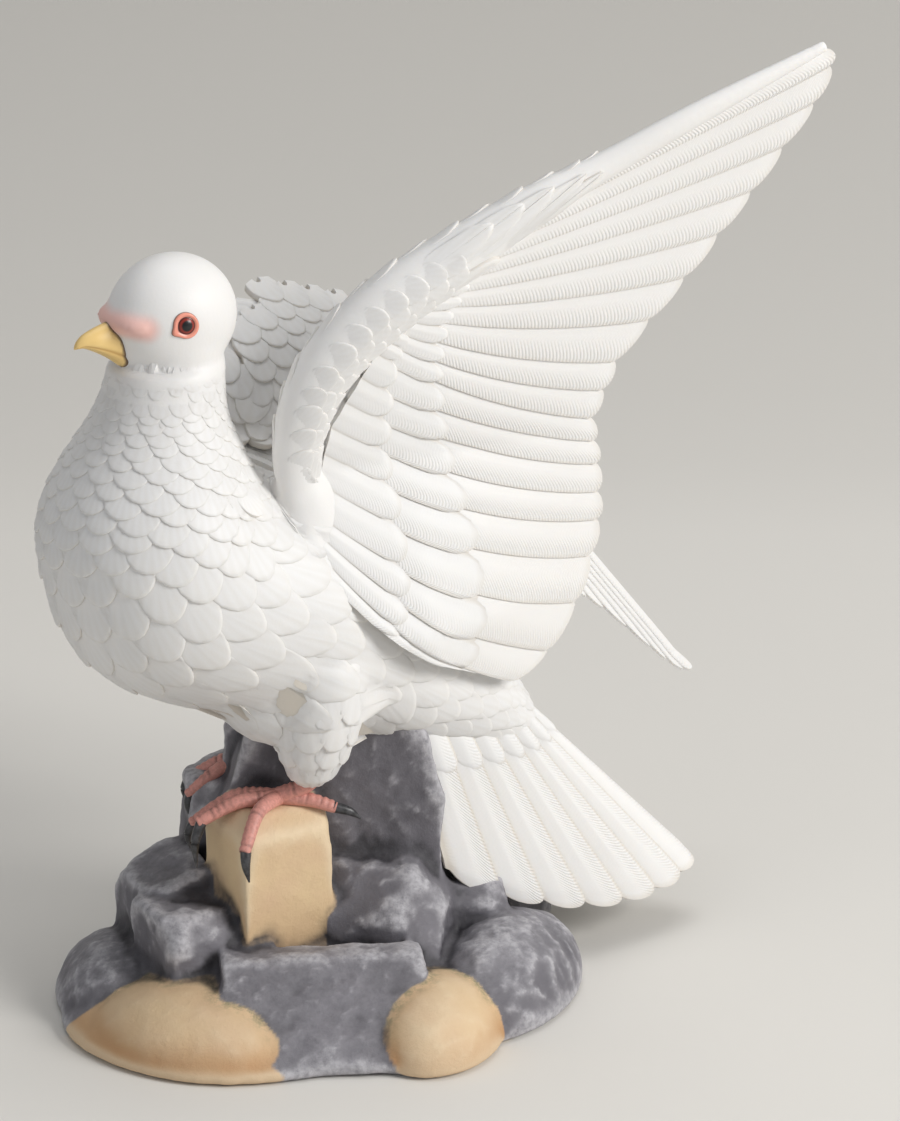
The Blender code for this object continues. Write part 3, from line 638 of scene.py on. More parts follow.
# Long feathers over the hand, from root to tip in the wing's plane, with their width
HAND_FEATHERS = (
    ((34, 71), (62, 90), 11),
    ((41, 74), (73, 95.5), 11),
    ((48, 74), (84, 99.5), 11),
    ((58, 73), (96, 102), 11),
    ((62, 68), (103, 99.5), 10),
    ((37, 51), (69, 72.5), 12),
)
WING_AZIMUTH, WING_LEAN = 22.0, 8.0


def raised_axes():
    c, s = turn(WING_AZIMUTH)
    lean_c, lean_s = turn(WING_LEAN)
    toward = np.array([s * lean_c, -c * lean_c, -lean_s])
    across = np.array([c, s, 0.0])
    return across, np.cross(toward, across), toward


def raised_point(ab, lift=0.0):
    """A point of the raised wing, which bows towards the viewer where it laps over the flank."""
    ab = np.asarray(ab, float)
    a, b = ab[..., 0], ab[..., 1]
    across, upward, toward = raised_axes()
    lap = np.clip((4 - b) / 34, 0, 1.6) * np.clip((112 - a) / 70, 0, 1)
    cup = 5.0 * np.clip((b - 30) / 100, -0.5, 1) ** 2
    total = 17 * lap + cup + lift
    return RAISED_ORIGIN + a[..., None] * across + b[..., None] * upward + total[..., None] * toward


def raised_vanes(plumage):
    root = lambda q: keyed(RAISED_ROOT_KEYS, RAISED_ROOTS, q)
    tip = lambda q: keyed(RAISED_TIP_KEYS, RAISED_TIPS, q)
    bow = lambda q: np.interp(q, (0, 4, 9, 14, 19), (0.0, -2.0, -9.0, -10.0, -9.0))
    bend = lambda q: bowed(root(q), tip(q), bow(q))
    face = lambda q: np.tile(raised_axes()[2], (len(q), 1))
    thick = lambda along: 3.4 - 2.0 * along
    return Vanes(raised_point, face, root, bend, tip, plumage.vane_step / SHARE, thick, tint=0.6)


def arm_frames():
    """The arm along the leading edge, standing proud of the sheet towards the viewer."""
    centre = np.array(ARM_CENTRE, float)
    half = np.array(ARM_HALF)[:, None]
    run = unit(np.gradient(centre, axis=0))
    side = np.stack([-run[:, 1], run[:, 0]], -1) * half
    proud = 0.30 * half[:, 0]
    middle = raised_point(centre, proud)
    toward = raised_axes()[2] * half * 0.85
    return np.concatenate([middle, raised_point(centre + side, proud) - middle, toward], 1)


# The far wing droops beside the back, its upper face towards the viewer
FAR_WRIST = np.array([-20.0, 68.0, 147.0])
FAR_AXES = np.array([[0.734, 0.162, -0.66], [-0.083, -0.943, -0.323], [0.675, -0.292, 0.679]])
FAR_TIP_KEYS = (0, 1, 3, 5, 7, 9, 12, 15, 17)
FAR_TIPS = ((223, 2), (220, 8), (202, 14), (174, 21), (155, 29), (138, 42), (118, 60), (104, 72), (90, 78))
FAR_ROOT_KEYS = (0, 5, 10, 14, 17)
FAR_ROOTS = ((2, -9), (-5, 8), (-3, 26), (6, 44), (20, 56))
FAR_ARCH = ((0, 10, 33, 80, 150, 217), (2, 8, 15, 19, 12, 0))
FAR_SWAY = ((0, 12, 36, 165, 225), (6, 1.5, -9.5, -11, -9.5))
# How far the far wing's upper face stands above the sheet of its middle
FAR_FACE = 5.2


def far_point(ab):
    """A point of the far wing, which is arched along its length and drops from its crest to the shoulder."""
    ab = np.asarray(ab, float)
    a, b = ab[..., 0], ab[..., 1]
    drop = 20 * np.clip(b / 50, 0, 1) ** 2 * np.clip((110 - a) / 70, 0, 1)
    arch = np.interp(a, *FAR_ARCH) - drop
    return FAR_WRIST + np.stack([a, b + np.interp(a, *FAR_SWAY), arch], -1) @ FAR_AXES


def far_vanes(plumage):
    root = lambda q: keyed(FAR_ROOT_KEYS, FAR_ROOTS, q)
    tip = lambda q: keyed(FAR_TIP_KEYS, FAR_TIPS, q)
    bend = lambda q: bowed(root(q), tip(q), 3.0 + 0 * q)
    face = lambda q: np.tile(FAR_AXES[2], (len(q), 1))
    thick = lambda along: 6.5 - 4.9 * np.sqrt(along)
    slope = 0.35 * plumage.vane_step / SHARE
    return Vanes(far_point, face, root, bend, tip, slope, thick, tint=0.08, crown=0.1)


# The tail is a fan of feathers, arched like a tent over its middle line
TAIL_FEATHERS = 14
TAIL_ROOT = np.array([68.8, 28.2, 32.0])
TAIL_FAN, TAIL_ROLL = 31.5, 74.7
TAIL_FAR_FAN, TAIL_FAR_ROLL = 28.0, 42.0
TAIL_LENGTHS = (119.0, 101.0, 62.0)
TAIL_SPREAD, TAIL_FORWARD, TAIL_SINK = 14.7, 33.2, 7.8
TAIL_AZIMUTH, TAIL_DROOP = 23.5, 46.0


def tail_ray(q):
    """Root point, direction, length and outer face of the tail at feather position q."""
    side = 1 - 2 * q / TAIL_FEATHERS
    out = np.abs(side)[:, None]
    near = side[:, None] > 0
    c, s = turn(TAIL_AZIMUTH)
    droop_c, droop_s = turn(TAIL_DROOP)
    middle = np.array([c * droop_c, s * droop_c, -droop_s])
    left = np.array([s, -c, 0.0])
    above = np.cross(left, middle)
    roll = np.radians(np.where(near, TAIL_ROLL, TAIL_FAR_ROLL)) * out * 1.12 / (out + 0.12)
    fan = np.radians(np.where(near, TAIL_FAN, TAIL_FAR_FAN)) * out
    sideways = np.sign(side)[:, None] * left
    outward = np.cos(roll) * sideways - np.sin(roll) * above
    ray = np.cos(fan) * middle + np.sin(fan) * outward
    start = TAIL_ROOT + TAIL_SPREAD * side[:, None] * left + TAIL_FORWARD * out**2 * BODY_AXES[0]
    start = start - np.array([0, 0, TAIL_SINK]) * out**2
    centre, half_way, outer = TAIL_LENGTHS
    reach = centre * (1 - out) * (1 - 2 * out) + 4 * half_way * out * (1 - out) + outer * out * (2 * out - 1)
    face = np.cos(roll) * above + np.sin(roll) * sideways
    return start, ray, reach, face


def tail_vanes(plumage):
    def root(q):
        start, ray, _, _ = tail_ray(q)
        return start + 3 * ray

    def tip(q):
        start, ray, reach, _ = tail_ray(q)
        return start + ray * (reach - 4)

    bend = lambda q: 0.5 * (root(q) + tip(q))
    face = lambda q: tail_ray(q)[3]
    thick = lambda along: 2.4 - 0.7 * along
    return Vanes(np.asarray, face, root, bend, tip, 1.6 * plumage.vane_step / SHARE, thick, 1.4, 0.8, 1.0)


# Legs, in millimetres from where the bird stands
LEFT_THIGH = (
    ((17, -20, 54), 15),
    ((15.5, -20, 38), 15.5),
    ((14, -18.5, 25), 13.5),
    ((13, -17.5, 15), 9.5),
    ((12, -17, 8), 4.5),
)
LEFT_FOOT = (1.5, -16.5, 2.4)
LEFT_TOES = (
    ((-13, -15, 2.0), (-27, -17, -6.5), (-28.5, -18, -16)),
    ((-12, -21, 2.2), (-24.5, -25, -3.0), (-26, -27, -19)),
    ((-5, -30, 2.2), (-9, -40, -7.0), (-7.8, -41.5, -18)),
    ((12, -17.5, 1.6), (20, -18, -0.8), (29, -17, -5.5)),
)
RIGHT_THIGH = (
    ((-4, 25, 54), 15),
    ((-6, 24, 38), 14.5),
    ((-8, 22, 25), 12),
    ((-9, 20, 15), 8),
    ((-10, 18, 8), 4),
)
RIGHT_FOOT = (-12, 16, 1.0)
RIGHT_TOES = (
    ((-20, 13, 0.0), (-30, 12, -8.5), (-29, 10, -18)),
    ((-19, 20, 0.5), (-31, 22, -7.0), (-31.5, 21, -16)),
)
SCUTE_GAP = 2.3
# Place down the thigh, count of feathers, their width and reach, and lift as a share
THIGH_TIERS = (
    (0.5, 9, 15, 18, 0.8),
    (1.2, 9, 14, 16, 0.9),
    (1.9, 9, 13, 14, 1.1),
    (2.7, 10, 9, 12, 1.3),
    (3.3, 9, 7, 10, 1.0),
)


def thigh_frames(rows):
    return np.array([np.concatenate([centre, (half, 0, 0), (0, half, 0)]) for centre, half in rows], float)


def pipe(shells, path, radii, sides, steps, bumps=0.0, flatten=1.0):
    """A round bar along a smooth path, ringed with low pads. Lengths in millimetres."""
    where = np.linspace(0, len(path) - 1, steps)
    line = through(path, where)
    radius = through(np.array(radii, float)[:, None], where)[:, 0]
    run = unit(np.gradient(line, axis=0))
    reach = np.concatenate([[0], np.cumsum(np.linalg.norm(np.diff(line, axis=0), axis=1))])
    side = unit(np.cross(run, np.array([0.13, 0.17, 0.97])))
    above = np.cross(side, run)
    angles = np.arange(sides) * math.tau / sides
    wave = np.abs(np.sin(math.pi * reach / SCUTE_GAP))
    upper = np.clip(np.sin(angles) * 0.8 + 0.6, 0, 1)
    swell = 1 + bumps * (np.outer(wave - 0.6, upper))
    ring = radius[:, None] * swell
    points = (
        line[:, None]
        + ring[..., None] * np.cos(angles)[None, :, None] * side[:, None]
        + ring[..., None] * np.sin(angles)[None, :, None] * above[:, None] * flatten
    )
    index = np.arange(steps * sides).reshape(steps, sides)
    wrapped = np.concatenate([index, index[:, :1]], 1)
    faces = quads(wrapped) + [tuple(index[0]), tuple(index[-1, ::-1])]
    line_mark = np.outer(np.clip(1 - wave * 2.4, 0, 1), upper) * (1.0 if bumps else 0.0)
    values = np.stack([line_mark, np.zeros_like(line_mark), np.zeros_like(line_mark)], -1)
    shells.add(on_bird(points.reshape(-1, 3)), faces, values)


def leg_shells(toes, claws, thigh, foot, toe_rows):
    """The bare shank under a thigh, its toes and their claws."""
    low, foot = np.array(thigh[-1][0], float), np.array(foot, float)
    shank = [low + (0, 0, 8), low, foot, foot + (-1.5, 0, -1.2)]
    pipe(toes, shank, (3.1, 2.8, 3.1, 2.4), 18, 40, 0.16)
    for near, far, claw in np.array(toe_rows, float):
        start = foot + (near - foot) * 0.05
        pipe(toes, [start, near, far, far + (far - near) * 0.06], (2.7, 2.4, 2.0, 1.3), 18, 44, 0.20)
        knuckle = 0.5 * (far + claw) + 0.1 * np.array([far[0] - near[0], far[1] - near[1], 6])
        pipe(claws, [far - (far - near) * 0.04, knuckle, claw], (1.95, 1.5, 0.3), 14, 22)


# The rock: chipped blocks that grow out of a round foot


BASE_RADIUS, BASE_RIM_HEIGHT, BOTTOM = 82.0, 3.5, 0.4
# How the foot slopes in above its rim: shares of its radius, and heights over the rim
FOOT_SLOPE = ((0.88, 8.5), (0.60, 19.5))
# Lobes of the foot's outline: how many, height as a share, and heading
FOOT_LOBES = ((1, 0.103, -93.9), (2, 0.087, 38.0), (3, 0.064, -11.9), (9, 0.006, 12.0))
# Low corner, high corner, yaw, and chips as a direction and a depth
BOULDERS = (
    ((-32, -38, 2), (2, -8, 74), 30, ((-1, -1, 0.2, 3), (1, -1, 0.3, 4), (-1, 0, 1, 4), (0, -1, 1.2, 5))),
    ((-32, -13, 2), (44, 4, 104), 2, ((-1, 0, 0.35, 12), (-1, 0, 1, 14), (1, 0, 0.25, 8), (1, -1, 1, 10))),
    ((-30, 0, 2), (42, 42, 92), -6, ((-1, 1, 0.6, 22), (1, 1, 0.6, 24), (1, 0, 0.6, 8))),
    ((-46, 0, 2), (-8, 34, 71), 10, ((-1, 1, 0.5, 10), (-1, -1, 0.6, 7))),
    ((4, -34, 2), (46, -2, 50), -14, ((1, -1, 0.7, 15), (0, -1, 0.8, 10), (1, 0, 0.8, 9))),
    ((10, -16, 2), (64, 30, 38), 8, ((1, 1, 0.5, 9), (1, -1, 0.8, 8), (0, -1, 1, 5))),
    ((-64, -30, 2), (-38, 6, 49), 24, ((-1, -1, 0.6, 7), (-1, 1, 0.8, 8), (-1, 0, 3, 6))),
    ((-56, -50, 2), (-30, -18, 41), 30, ((-1, -1, 0.8, 6), (0, -1, 1, 5))),
    ((-30, -84, 1), (38, -40, 30), 4, ((0.05, -1, 1.3, 21), (-1, -1, 1.2, 10), (1, -0.6, 1, 9))),
    ((-58, 8, 1), (-26, 56, 28), 12, ((-1, 1, 0.9, 14), (-1, 0, 1, 9), (0, 1, 1.1, 7))),
    ((-30, 34, 1), (30, 78, 40), 8, ((0, 1, 0.9, 15), (-1, 1, 1, 9), (1, 1, 1.1, 8))),
    ((22, 16, 1), (76, 62, 30), -24, ((1, 1, 0.9, 14), (1, 0, 1, 9), (0, 1, 1.2, 6))),
)
# Low rounded boulders round the front: centre, half sizes and yaw
ROUND_BOULDERS = (
    ((-40, -59, 1), (39, 27, 21), -30),
    ((42, -55, 2), (22, 31, 21), -15),
    ((64, -19, 1), (25, 43, 27), -21),
    ((-66, -22, 1), (23, 35, 21), 10),
)
# Which rounded boulders and which block are tan
TAN_ROUND = (0, 1)
TAN_BLOCK = 0
FOOT_SIDES = 144
# No point of the rock lies lower than this, in metres
FLOOR_GAP = 0.0002


def from_middle(points, middle, yaw):
    """Points in millimetres from a rock's middle, turned back by its yaw."""
    c, s = turn(yaw)
    local = points / SHARE - middle
    return np.stack([local[:, 0] * c + local[:, 1] * s, local[:, 1] * c - local[:, 0] * s, local[:, 2]], -1)


def round_boulder(centre, half_sizes, yaw):
    """The upper part of an egg that lies on the foot."""
    c, s = turn(yaw)
    axes = np.array([[c, s, 0.0], [-s, c, 0.0], [0.0, 0.0, 1.0]])
    mesh = egg("round", np.array(centre) * SHARE, np.array(half_sizes) * SHARE, axes, 48, 28)
    bm = bmesh.new()
    bm.from_mesh(mesh)
    everything = bm.verts[:] + bm.edges[:] + bm.faces[:]
    low = Vector((0, 0, BOTTOM * SHARE))
    cut = bmesh.ops.bisect_plane(bm, geom=everything, plane_co=low, plane_no=(0, 0, -1), clear_outer=True)
    bmesh.ops.edgeloop_fill(bm, edges=[e for e in cut["geom_cut"] if isinstance(e, bmesh.types.BMEdge)])
    bm.to_mesh(mesh)
    bm.free()
    return mesh


def egg_distance(points, centre, half_sizes, yaw):
    """Roughly how far points are outside an egg, in millimetres."""
    local = from_middle(points, np.array(centre), yaw)
    return (np.linalg.norm(local / half_sizes, axis=1) - 1) * min(half_sizes)


def chipped_block(low, high, yaw, chips):
    """A block between two corners, turned by its yaw, with slanting chips off it."""
    middle = (np.array(low) + np.array(high)) / 2 * SHARE
    size = (np.array(high, float) - np.array(low)) * SHARE
    bm = bmesh.new()
    bmesh.ops.create_cube(bm, size=1.0)
    bm.transform(Matrix.Diagonal((*size, 1.0)))
    for *direction, depth in chips:
        way = Vector(direction).normalized()
        reach = sum(abs(way[i]) * size[i] / 2 for i in range(3))
        everything = bm.verts[:] + bm.edges[:] + bm.faces[:]
        cut = bmesh.ops.bisect_plane(
            bm, geom=everything, plane_co=way * (reach - depth * SHARE), plane_no=way, clear_outer=True
        )
        bmesh.ops.edgeloop_fill(bm, edges=[e for e in cut["geom_cut"] if isinstance(e, bmesh.types.BMEdge)])
    bmesh.ops.recalc_face_normals(bm, faces=bm.faces)
    bm.transform(Matrix.Translation(Vector(middle)) @ Matrix.Rotation(math.radians(yaw), 4, "Z"))
    mesh = bpy.data.meshes.new("block")
    bm.to_mesh(mesh)
    bm.free()
    return mesh


def foot_mesh():
    """The low foot of the rock, uneven like cast rock."""
    rings = []
    angles = np.arange(FOOT_SIDES) * math.tau / FOOT_SIDES
    uneven = 1 + sum(
        height * np.cos(lobes * (angles - math.radians(way))) for lobes, height, way in FOOT_LOBES
    )
    steps = [(1.0, BOTTOM), (1.0, BASE_RIM_HEIGHT)]
    steps += [(share_in, BASE_RIM_HEIGHT + height) for share_in, height in FOOT_SLOPE]
    for share_in, up in steps:
        reach = BASE_RADIUS * share_in * uneven
        ring = [reach * np.cos(angles), reach * np.sin(angles), np.full(FOOT_SIDES, up)]
        rings.append(np.stack(ring, -1) * SHARE)
    return mesh_of("foot", rings)


def block_distance(points, low, high, yaw, chips):
    """Roughly how far points are outside a chipped block, in millimetres, and below zero inside it."""
    half = (np.array(high) - np.array(low)) / 2
    local = from_middle(points, (np.array(low) + np.array(high)) / 2, yaw)
    outside = (np.abs(local) - half).max(axis=1)
    for *direction, depth in chips:
        way = unit(np.array(direction, float))
        outside = np.maximum(outside, local @ way - (np.abs(way) @ half - depth))
    return outside


def neighbour_mean(values, edges, counts):
    """For each vertex, the mean of its neighbours' values."""
    total = np.zeros_like(values)
    np.add.at(total, edges[:, 0], values[edges[:, 1]])
    np.add.at(total, edges[:, 1], values[edges[:, 0]])
    return total / (counts if values.ndim == 1 else counts[:, None])


def spread(values, edges, counts, times):
    """Values eased over the mesh a number of times."""
    for _ in range(times):
        values = 0.5 * values + 0.5 * neighbour_mean(values, edges, counts)
    return values


# Paint


def node(tree, kind, **inputs):
    made = tree.nodes.new(kind)
    for name, value in inputs.items():
        made.inputs[name.replace("_", " ")].default_value = value
    return made


def attribute(tree, name):
    made = tree.nodes.new("ShaderNodeAttribute")
    made.attribute_name = name
    return made.outputs["Fac"]


def mathed(tree, operation, first, second=0.0, third=0.0, clamp=False):
    made = tree.nodes.new("ShaderNodeMath")
    made.operation = operation
    made.use_clamp = clamp
    for socket, value in zip(made.inputs, (first, second, third)):
        if isinstance(value, bpy.types.NodeSocket):
            tree.links.new(value, socket)
        else:
            socket.default_value = value
    return made.outputs[0]


def times(tree, first, second, clamp=False):
    return mathed(tree, "MULTIPLY", first, second, clamp=clamp)


def mixed(tree, factor, first, second):
    made = tree.nodes.new("ShaderNodeMix")
    made.data_type = "RGBA"
    for socket, value in ((made.inputs[0], factor), (made.inputs[6], first), (made.inputs[7], second)):
        if isinstance(value, bpy.types.NodeSocket):
            tree.links.new(value, socket)
        elif socket.type == "RGBA":
            socket.default_value = (*value, 1.0)
        else:
            socket.default_value = value
    return made.outputs[2]


def noised(tree, scale, detail=4.0, roughness=0.55):
    place = tree.nodes.new("ShaderNodeTexCoord")
    made = node(tree, "ShaderNodeTexNoise", Scale=scale, Detail=detail, Roughness=roughness)
    tree.links.new(place.outputs["Object"], made.inputs["Vector"])
    return made.outputs["Fac"]


def between(tree, value, low, high):
    """The value stretched so that low becomes 0 and high becomes 1."""
    made = node(tree, "ShaderNodeMapRange", From_Min=low, From_Max=high)
    tree.links.new(value, made.inputs["Value"])
    return made.outputs["Result"]


def group(name, inputs, outputs):
    tree = bpy.data.node_groups.new(name, "ShaderNodeTree")
    for label, kind, default in inputs:
        tree.interface.new_socket(label, in_out="INPUT", socket_type=kind).default_value = default
    for label, kind in outputs:
        tree.interface.new_socket(label, in_out="OUTPUT", socket_type=kind)
    return tree, tree.nodes.new("NodeGroupInput"), tree.nodes.new("NodeGroupOutput")


def bisque_grain():
    """Fine cast grain and a faint unevenness of tone."""
    tree, given, result = group(
        "Bisque grain",
        (("Grain", "NodeSocketFloat", 900.0), ("Patches", "NodeSocketFloat", 18.0)),
        (("Tone", "NodeSocketFloat"), ("Height", "NodeSocketFloat")),
    )
    place = tree.nodes.new("ShaderNodeTexCoord")
    for label, socket, detail in (("Grain", "Height", 3.0), ("Patches", "Tone", 3.0)):
        made = node(tree, "ShaderNodeTexNoise", Detail=detail)
        tree.links.new(place.outputs["Object"], made.inputs["Vector"])
        tree.links.new(given.outputs[label], made.inputs["Scale"])
        tree.links.new(made.outputs["Fac"], result.inputs[socket])
    return tree


def barb_hatch():
    """The incised barbs of flight feathers, from the piece's own counts along each feather."""
    tree, given, result = group(
        "Barb hatch",
        (("Depth", "NodeSocketFloat", 1.0),),
        (("Height", "NodeSocketFloat"), ("Mask", "NodeSocketFloat")),
    )
    cycle = mathed(tree, "FRACT", attribute(tree, "barb_phase"))
    ridge = mathed(tree, "PINGPONG", cycle, 0.5)
    ridge = times(tree, ridge, 2.0)
    ridge = mathed(tree, "POWER", ridge, 0.6)
    depth = times(tree, attribute(tree, "barb_strength"), given.outputs["Depth"])
    tree.links.new(times(tree, ridge, depth), result.inputs["Height"])
    # Painted shade in the dips between barbs, used for the colour
    dip = mathed(tree, "SUBTRACT", 1.0, ridge)
    tree.links.new(times(tree, dip, depth), result.inputs["Mask"])
    return tree


def placed(tree, source, **inputs):
    made = tree.nodes.new("ShaderNodeGroup")
    made.node_tree = source
    for name, value in inputs.items():
        made.inputs[name].default_value = value
    return made


def painted(name, roughness):
    """A new material, with its tree and its shader."""
    made = bpy.data.materials.new(name)
    made.use_nodes = True
    shader = made.node_tree.nodes["Principled BSDF"]
    shader.inputs["Roughness"].default_value = roughness
    return made, made.node_tree, shader


def bumped(tree, shader, height, distance, strength=1.0, after=None):
    made = node(tree, "ShaderNodeBump", Strength=strength, Distance=distance)
    tree.links.new(height, made.inputs["Height"])
    if after:
        tree.links.new(after, made.inputs["Normal"])
    tree.links.new(made.outputs["Normal"], shader.inputs["Normal"])
    return made.outputs["Normal"]


def bisque_paint(name="White bisque", blush=None):
    """Unglazed white porcelain, with painted shade, warmer and darker, in its grooves. The blush names a
    painted tint.
    """
    if name in bpy.data.materials:
        return bpy.data.materials[name]
    paint = bpy.context.scene.dove_paint
    plumage = bpy.context.scene.dove_plumage
    made, tree, shader = painted(name, 0.52)
    grain = placed(tree, shared(bisque_grain))
    hatch = placed(tree, shared(barb_hatch))
    # Painted shade in the barb dips joins the groove shade
    barb_shade = times(tree, hatch.outputs["Mask"], 0.25)
    groove = mathed(tree, "ADD", attribute(tree, "groove"), barb_shade, clamp=True)
    # Painted shade: the groove colour darkens grooves, feather rims and barb dips
    base = mixed(tree, times(tree, groove, 0.8), tuple(paint.bisque), tuple(paint.groove))
    patches = times(tree, between(tree, grain.outputs["Tone"], 0.35, 0.75), 0.16)
    base = mixed(tree, patches, base, (0.70, 0.68, 0.65))
    if blush:
        base = mixed(tree, attribute(tree, "blush"), base, tuple(paint.cere))
    tree.links.new(base, shader.inputs["Base Color"])
    shader.inputs["Subsurface Weight"].default_value = 0.12
    shader.inputs["Subsurface Radius"].default_value = (1.0, 0.8, 0.6)
    shader.inputs["Subsurface Scale"].default_value = 0.003
    first = bumped(tree, shader, hatch.outputs["Height"], plumage.barb_depth, 0.8)
    bumped(tree, shader, grain.outputs["Height"], 0.00012, 0.35, first)
    return made


def shared(maker):
    """A node group, made once."""
    if maker.__name__ not in SHARED:
        SHARED[maker.__name__] = maker()
    return SHARED[maker.__name__]


SHARED = {}


def toe_paint():
    paint = bpy.context.scene.dove_paint
    made, tree, shader = painted("Coral toes", 0.5)
    mottle = between(tree, noised(tree, 900.0, 2.0), 0.42, 0.62)
    deep = tuple(c * 0.62 for c in paint.toe)
    base = mixed(tree, times(tree, mottle, 0.45), tuple(paint.toe), deep)
    breaks = between(tree, noised(tree, 420.0, 2.0), 0.3, 0.6)
    line = times(tree, attribute(tree, "groove"), breaks, clamp=True)
    tree.links.new(mixed(tree, line, base, tuple(paint.toe_line)), shader.inputs["Base Color"])
    bumped(tree, shader, noised(tree, 1400.0, 2.0), 0.0002, 0.6)
    return made


def claw_paint():
    paint = bpy.context.scene.dove_paint
    made, tree, shader = painted("Charcoal claws", 0.35)
    wear = between(tree, noised(tree, 500.0, 3.0), 0.4, 0.75)
    base = mixed(tree, wear, tuple(paint.claw), (0.09, 0.09, 0.095))
    tree.links.new(base, shader.inputs["Base Color"])
    return made


def bill_paint():
    paint = bpy.context.scene.dove_paint
    made, tree, shader = painted("Ochre bill", 0.38)
    tone = between(tree, noised(tree, 130.0, 3.0), 0.3, 0.7)
    base = mixed(tree, times(tree, tone, 0.5), tuple(paint.bill), (0.84, 0.62, 0.28))
    base = mixed(tree, attribute(tree, "barb_strength"), base, (0.52, 0.29, 0.08))
    base = mixed(tree, attribute(tree, "groove"), base, tuple(paint.bill_line))
    tree.links.new(base, shader.inputs["Base Color"])
    return made


def eye_paint():
    """Pupil, iris and lid by their distance from the eye's middle."""
    paint = bpy.context.scene.dove_paint
    made, tree, shader = painted("Painted eye", 0.3)
    ramp = tree.nodes.new("ShaderNodeValToRGB")
    bright_iris = tuple(c * 1.7 for c in paint.iris)
    bright_lid = tuple(min(c * 1.15, 1) for c in paint.eyelid)
    bands = (
        (0.0, paint.pupil), (0.34, paint.pupil), (0.38, paint.iris), (0.46, bright_iris),
        (0.54, paint.iris), (0.60, paint.pupil), (0.66, paint.eyelid), (0.80, bright_lid),
        (0.90, paint.eyelid), (0.95, paint.bill_line), (1.0, paint.bisque),
    )
    for place, tint in bands[1:-1]:
        ramp.color_ramp.elements.new(place)
    for stop, (place, tint) in zip(ramp.color_ramp.elements, bands):
        stop.position = place
        stop.color = (*tint, 1.0)
    tree.links.new(attribute(tree, "groove"), ramp.inputs["Fac"])
    tree.links.new(ramp.outputs["Color"], shader.inputs["Base Color"])
    return made


def rock_paint():
    """Grey violet rock with tan patches and moss. It is near-black in its hollows, partly its own dark wash
    and partly painted shade, and light on its edges and tops, partly its own dry-brushed paint and partly
    painted highlight.
    """
    paint = bpy.context.scene.dove_paint
    made, tree, shader = painted("Painted rock", 0.62)
    broad = noised(tree, 45.0, 5.0, 0.6)
    fine = noised(tree, 420.0, 5.0, 0.65)
    cloud = times(tree, between(tree, broad, 0.35, 0.68), 0.5)
    grey = mixed(tree, cloud, tuple(paint.rock), (0.23, 0.22, 0.245))
    # Lighter on edges and tops: partly dry-brushed paint, partly painted highlight
    brush_and_highlight = times(tree, attribute(tree, "ridge"), between(tree, fine, 0.15, 0.60), clamp=True)
    grey = mixed(tree, brush_and_highlight, grey, tuple(paint.rock_drybrush_and_highlight))
    warm = mixed(tree, between(tree, broad, 0.3, 0.7), tuple(paint.tan), (0.74, 0.56, 0.33))
    warm = mixed(tree, attribute(tree, "low"), warm, tuple(paint.tan_deep))
    # The tan boulders are also lighter on edges and tops, partly as painted highlight
    warm = mixed(tree, times(tree, attribute(tree, "ridge"), 0.6), warm, (0.80, 0.66, 0.46))
    dabs = between(tree, noised(tree, 260.0, 5.0, 0.75), 0.42, 0.62)
    speckle = times(tree, dabs, attribute(tree, "moss"), clamp=True)
    warm = mixed(tree, speckle, warm, tuple(paint.moss))
    base = mixed(tree, attribute(tree, "tan"), grey, warm)
    # Darker in the hollows: partly the dark wash, partly painted shade
    wash_and_shade = times(tree, attribute(tree, "hollow"), between(tree, broad, 0.2, 0.6), clamp=True)
    base = mixed(tree, wash_and_shade, base, tuple(paint.rock_wash_and_shade))
    tree.links.new(base, shader.inputs["Base Color"])
    bumped(tree, shader, noised(tree, 600.0, 6.0, 0.7), 0.0006, 0.55)
    return made


# Operators


class Carver:
    """What the carving operators have in common."""

    bl_options = {"REGISTER", "UNDO"}

    def plumage(self):
        return bpy.context.scene.dove_plumage


class DOVE_OT_body(Carver, bpy.types.Operator):
    """Carve the body and head with their plumage"""

    bl_idname = "dove.body"
    bl_label = "Body and head"

    def execute(self, context):
        plumage = self.plumage()
        skin = melted("body", core_meshes(), plumage.core_grain, 14)
        ground = Ground(skin)
        stored(skin, "blush", cere_blush(ground.points))
        body = dressed("body_and_head", skin, bisque_paint("Blushed bisque", True), 80)
        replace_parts(body, "dove")
        shells = Shells()
        generator = np.random.default_rng(7)
        lay_plumage(shells, ground, plumage, generator)
        lay_thighs(shells, ground, plumage)
        lay_shoulder(shells, ground, plumage)
        feathers = shells.build("body_feathers", bisque_paint(), WHITE_SLOT)
        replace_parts(feathers, "dove")
        make_face(ground)
        return {"FINISHED"}


# The middle of the blush over one side of the bill: forward, left and up on the head
CERE_LINE = ((24.5, 0, 2.0), (22.5, 7.0, 2.3), (17.5, 13.0, 1.4))


def cere_blush(points):
    """How pink the skin over the bill is painted."""
    amount = np.zeros(len(points))
    for side in (1, -1):
        ends = [head_point(forward, left * side, up) for forward, left, up in CERE_LINE]
        for a, b in zip(ends, ends[1:]):
            run = b - a
            part = np.clip((points - a) @ run / (run @ run), 0, 1)
            away = np.linalg.norm(points - a - part[:, None] * run, axis=1) / SHARE
            amount = np.maximum(amount, eased(6.4, 1.6, away))
    return 0.95 * amount


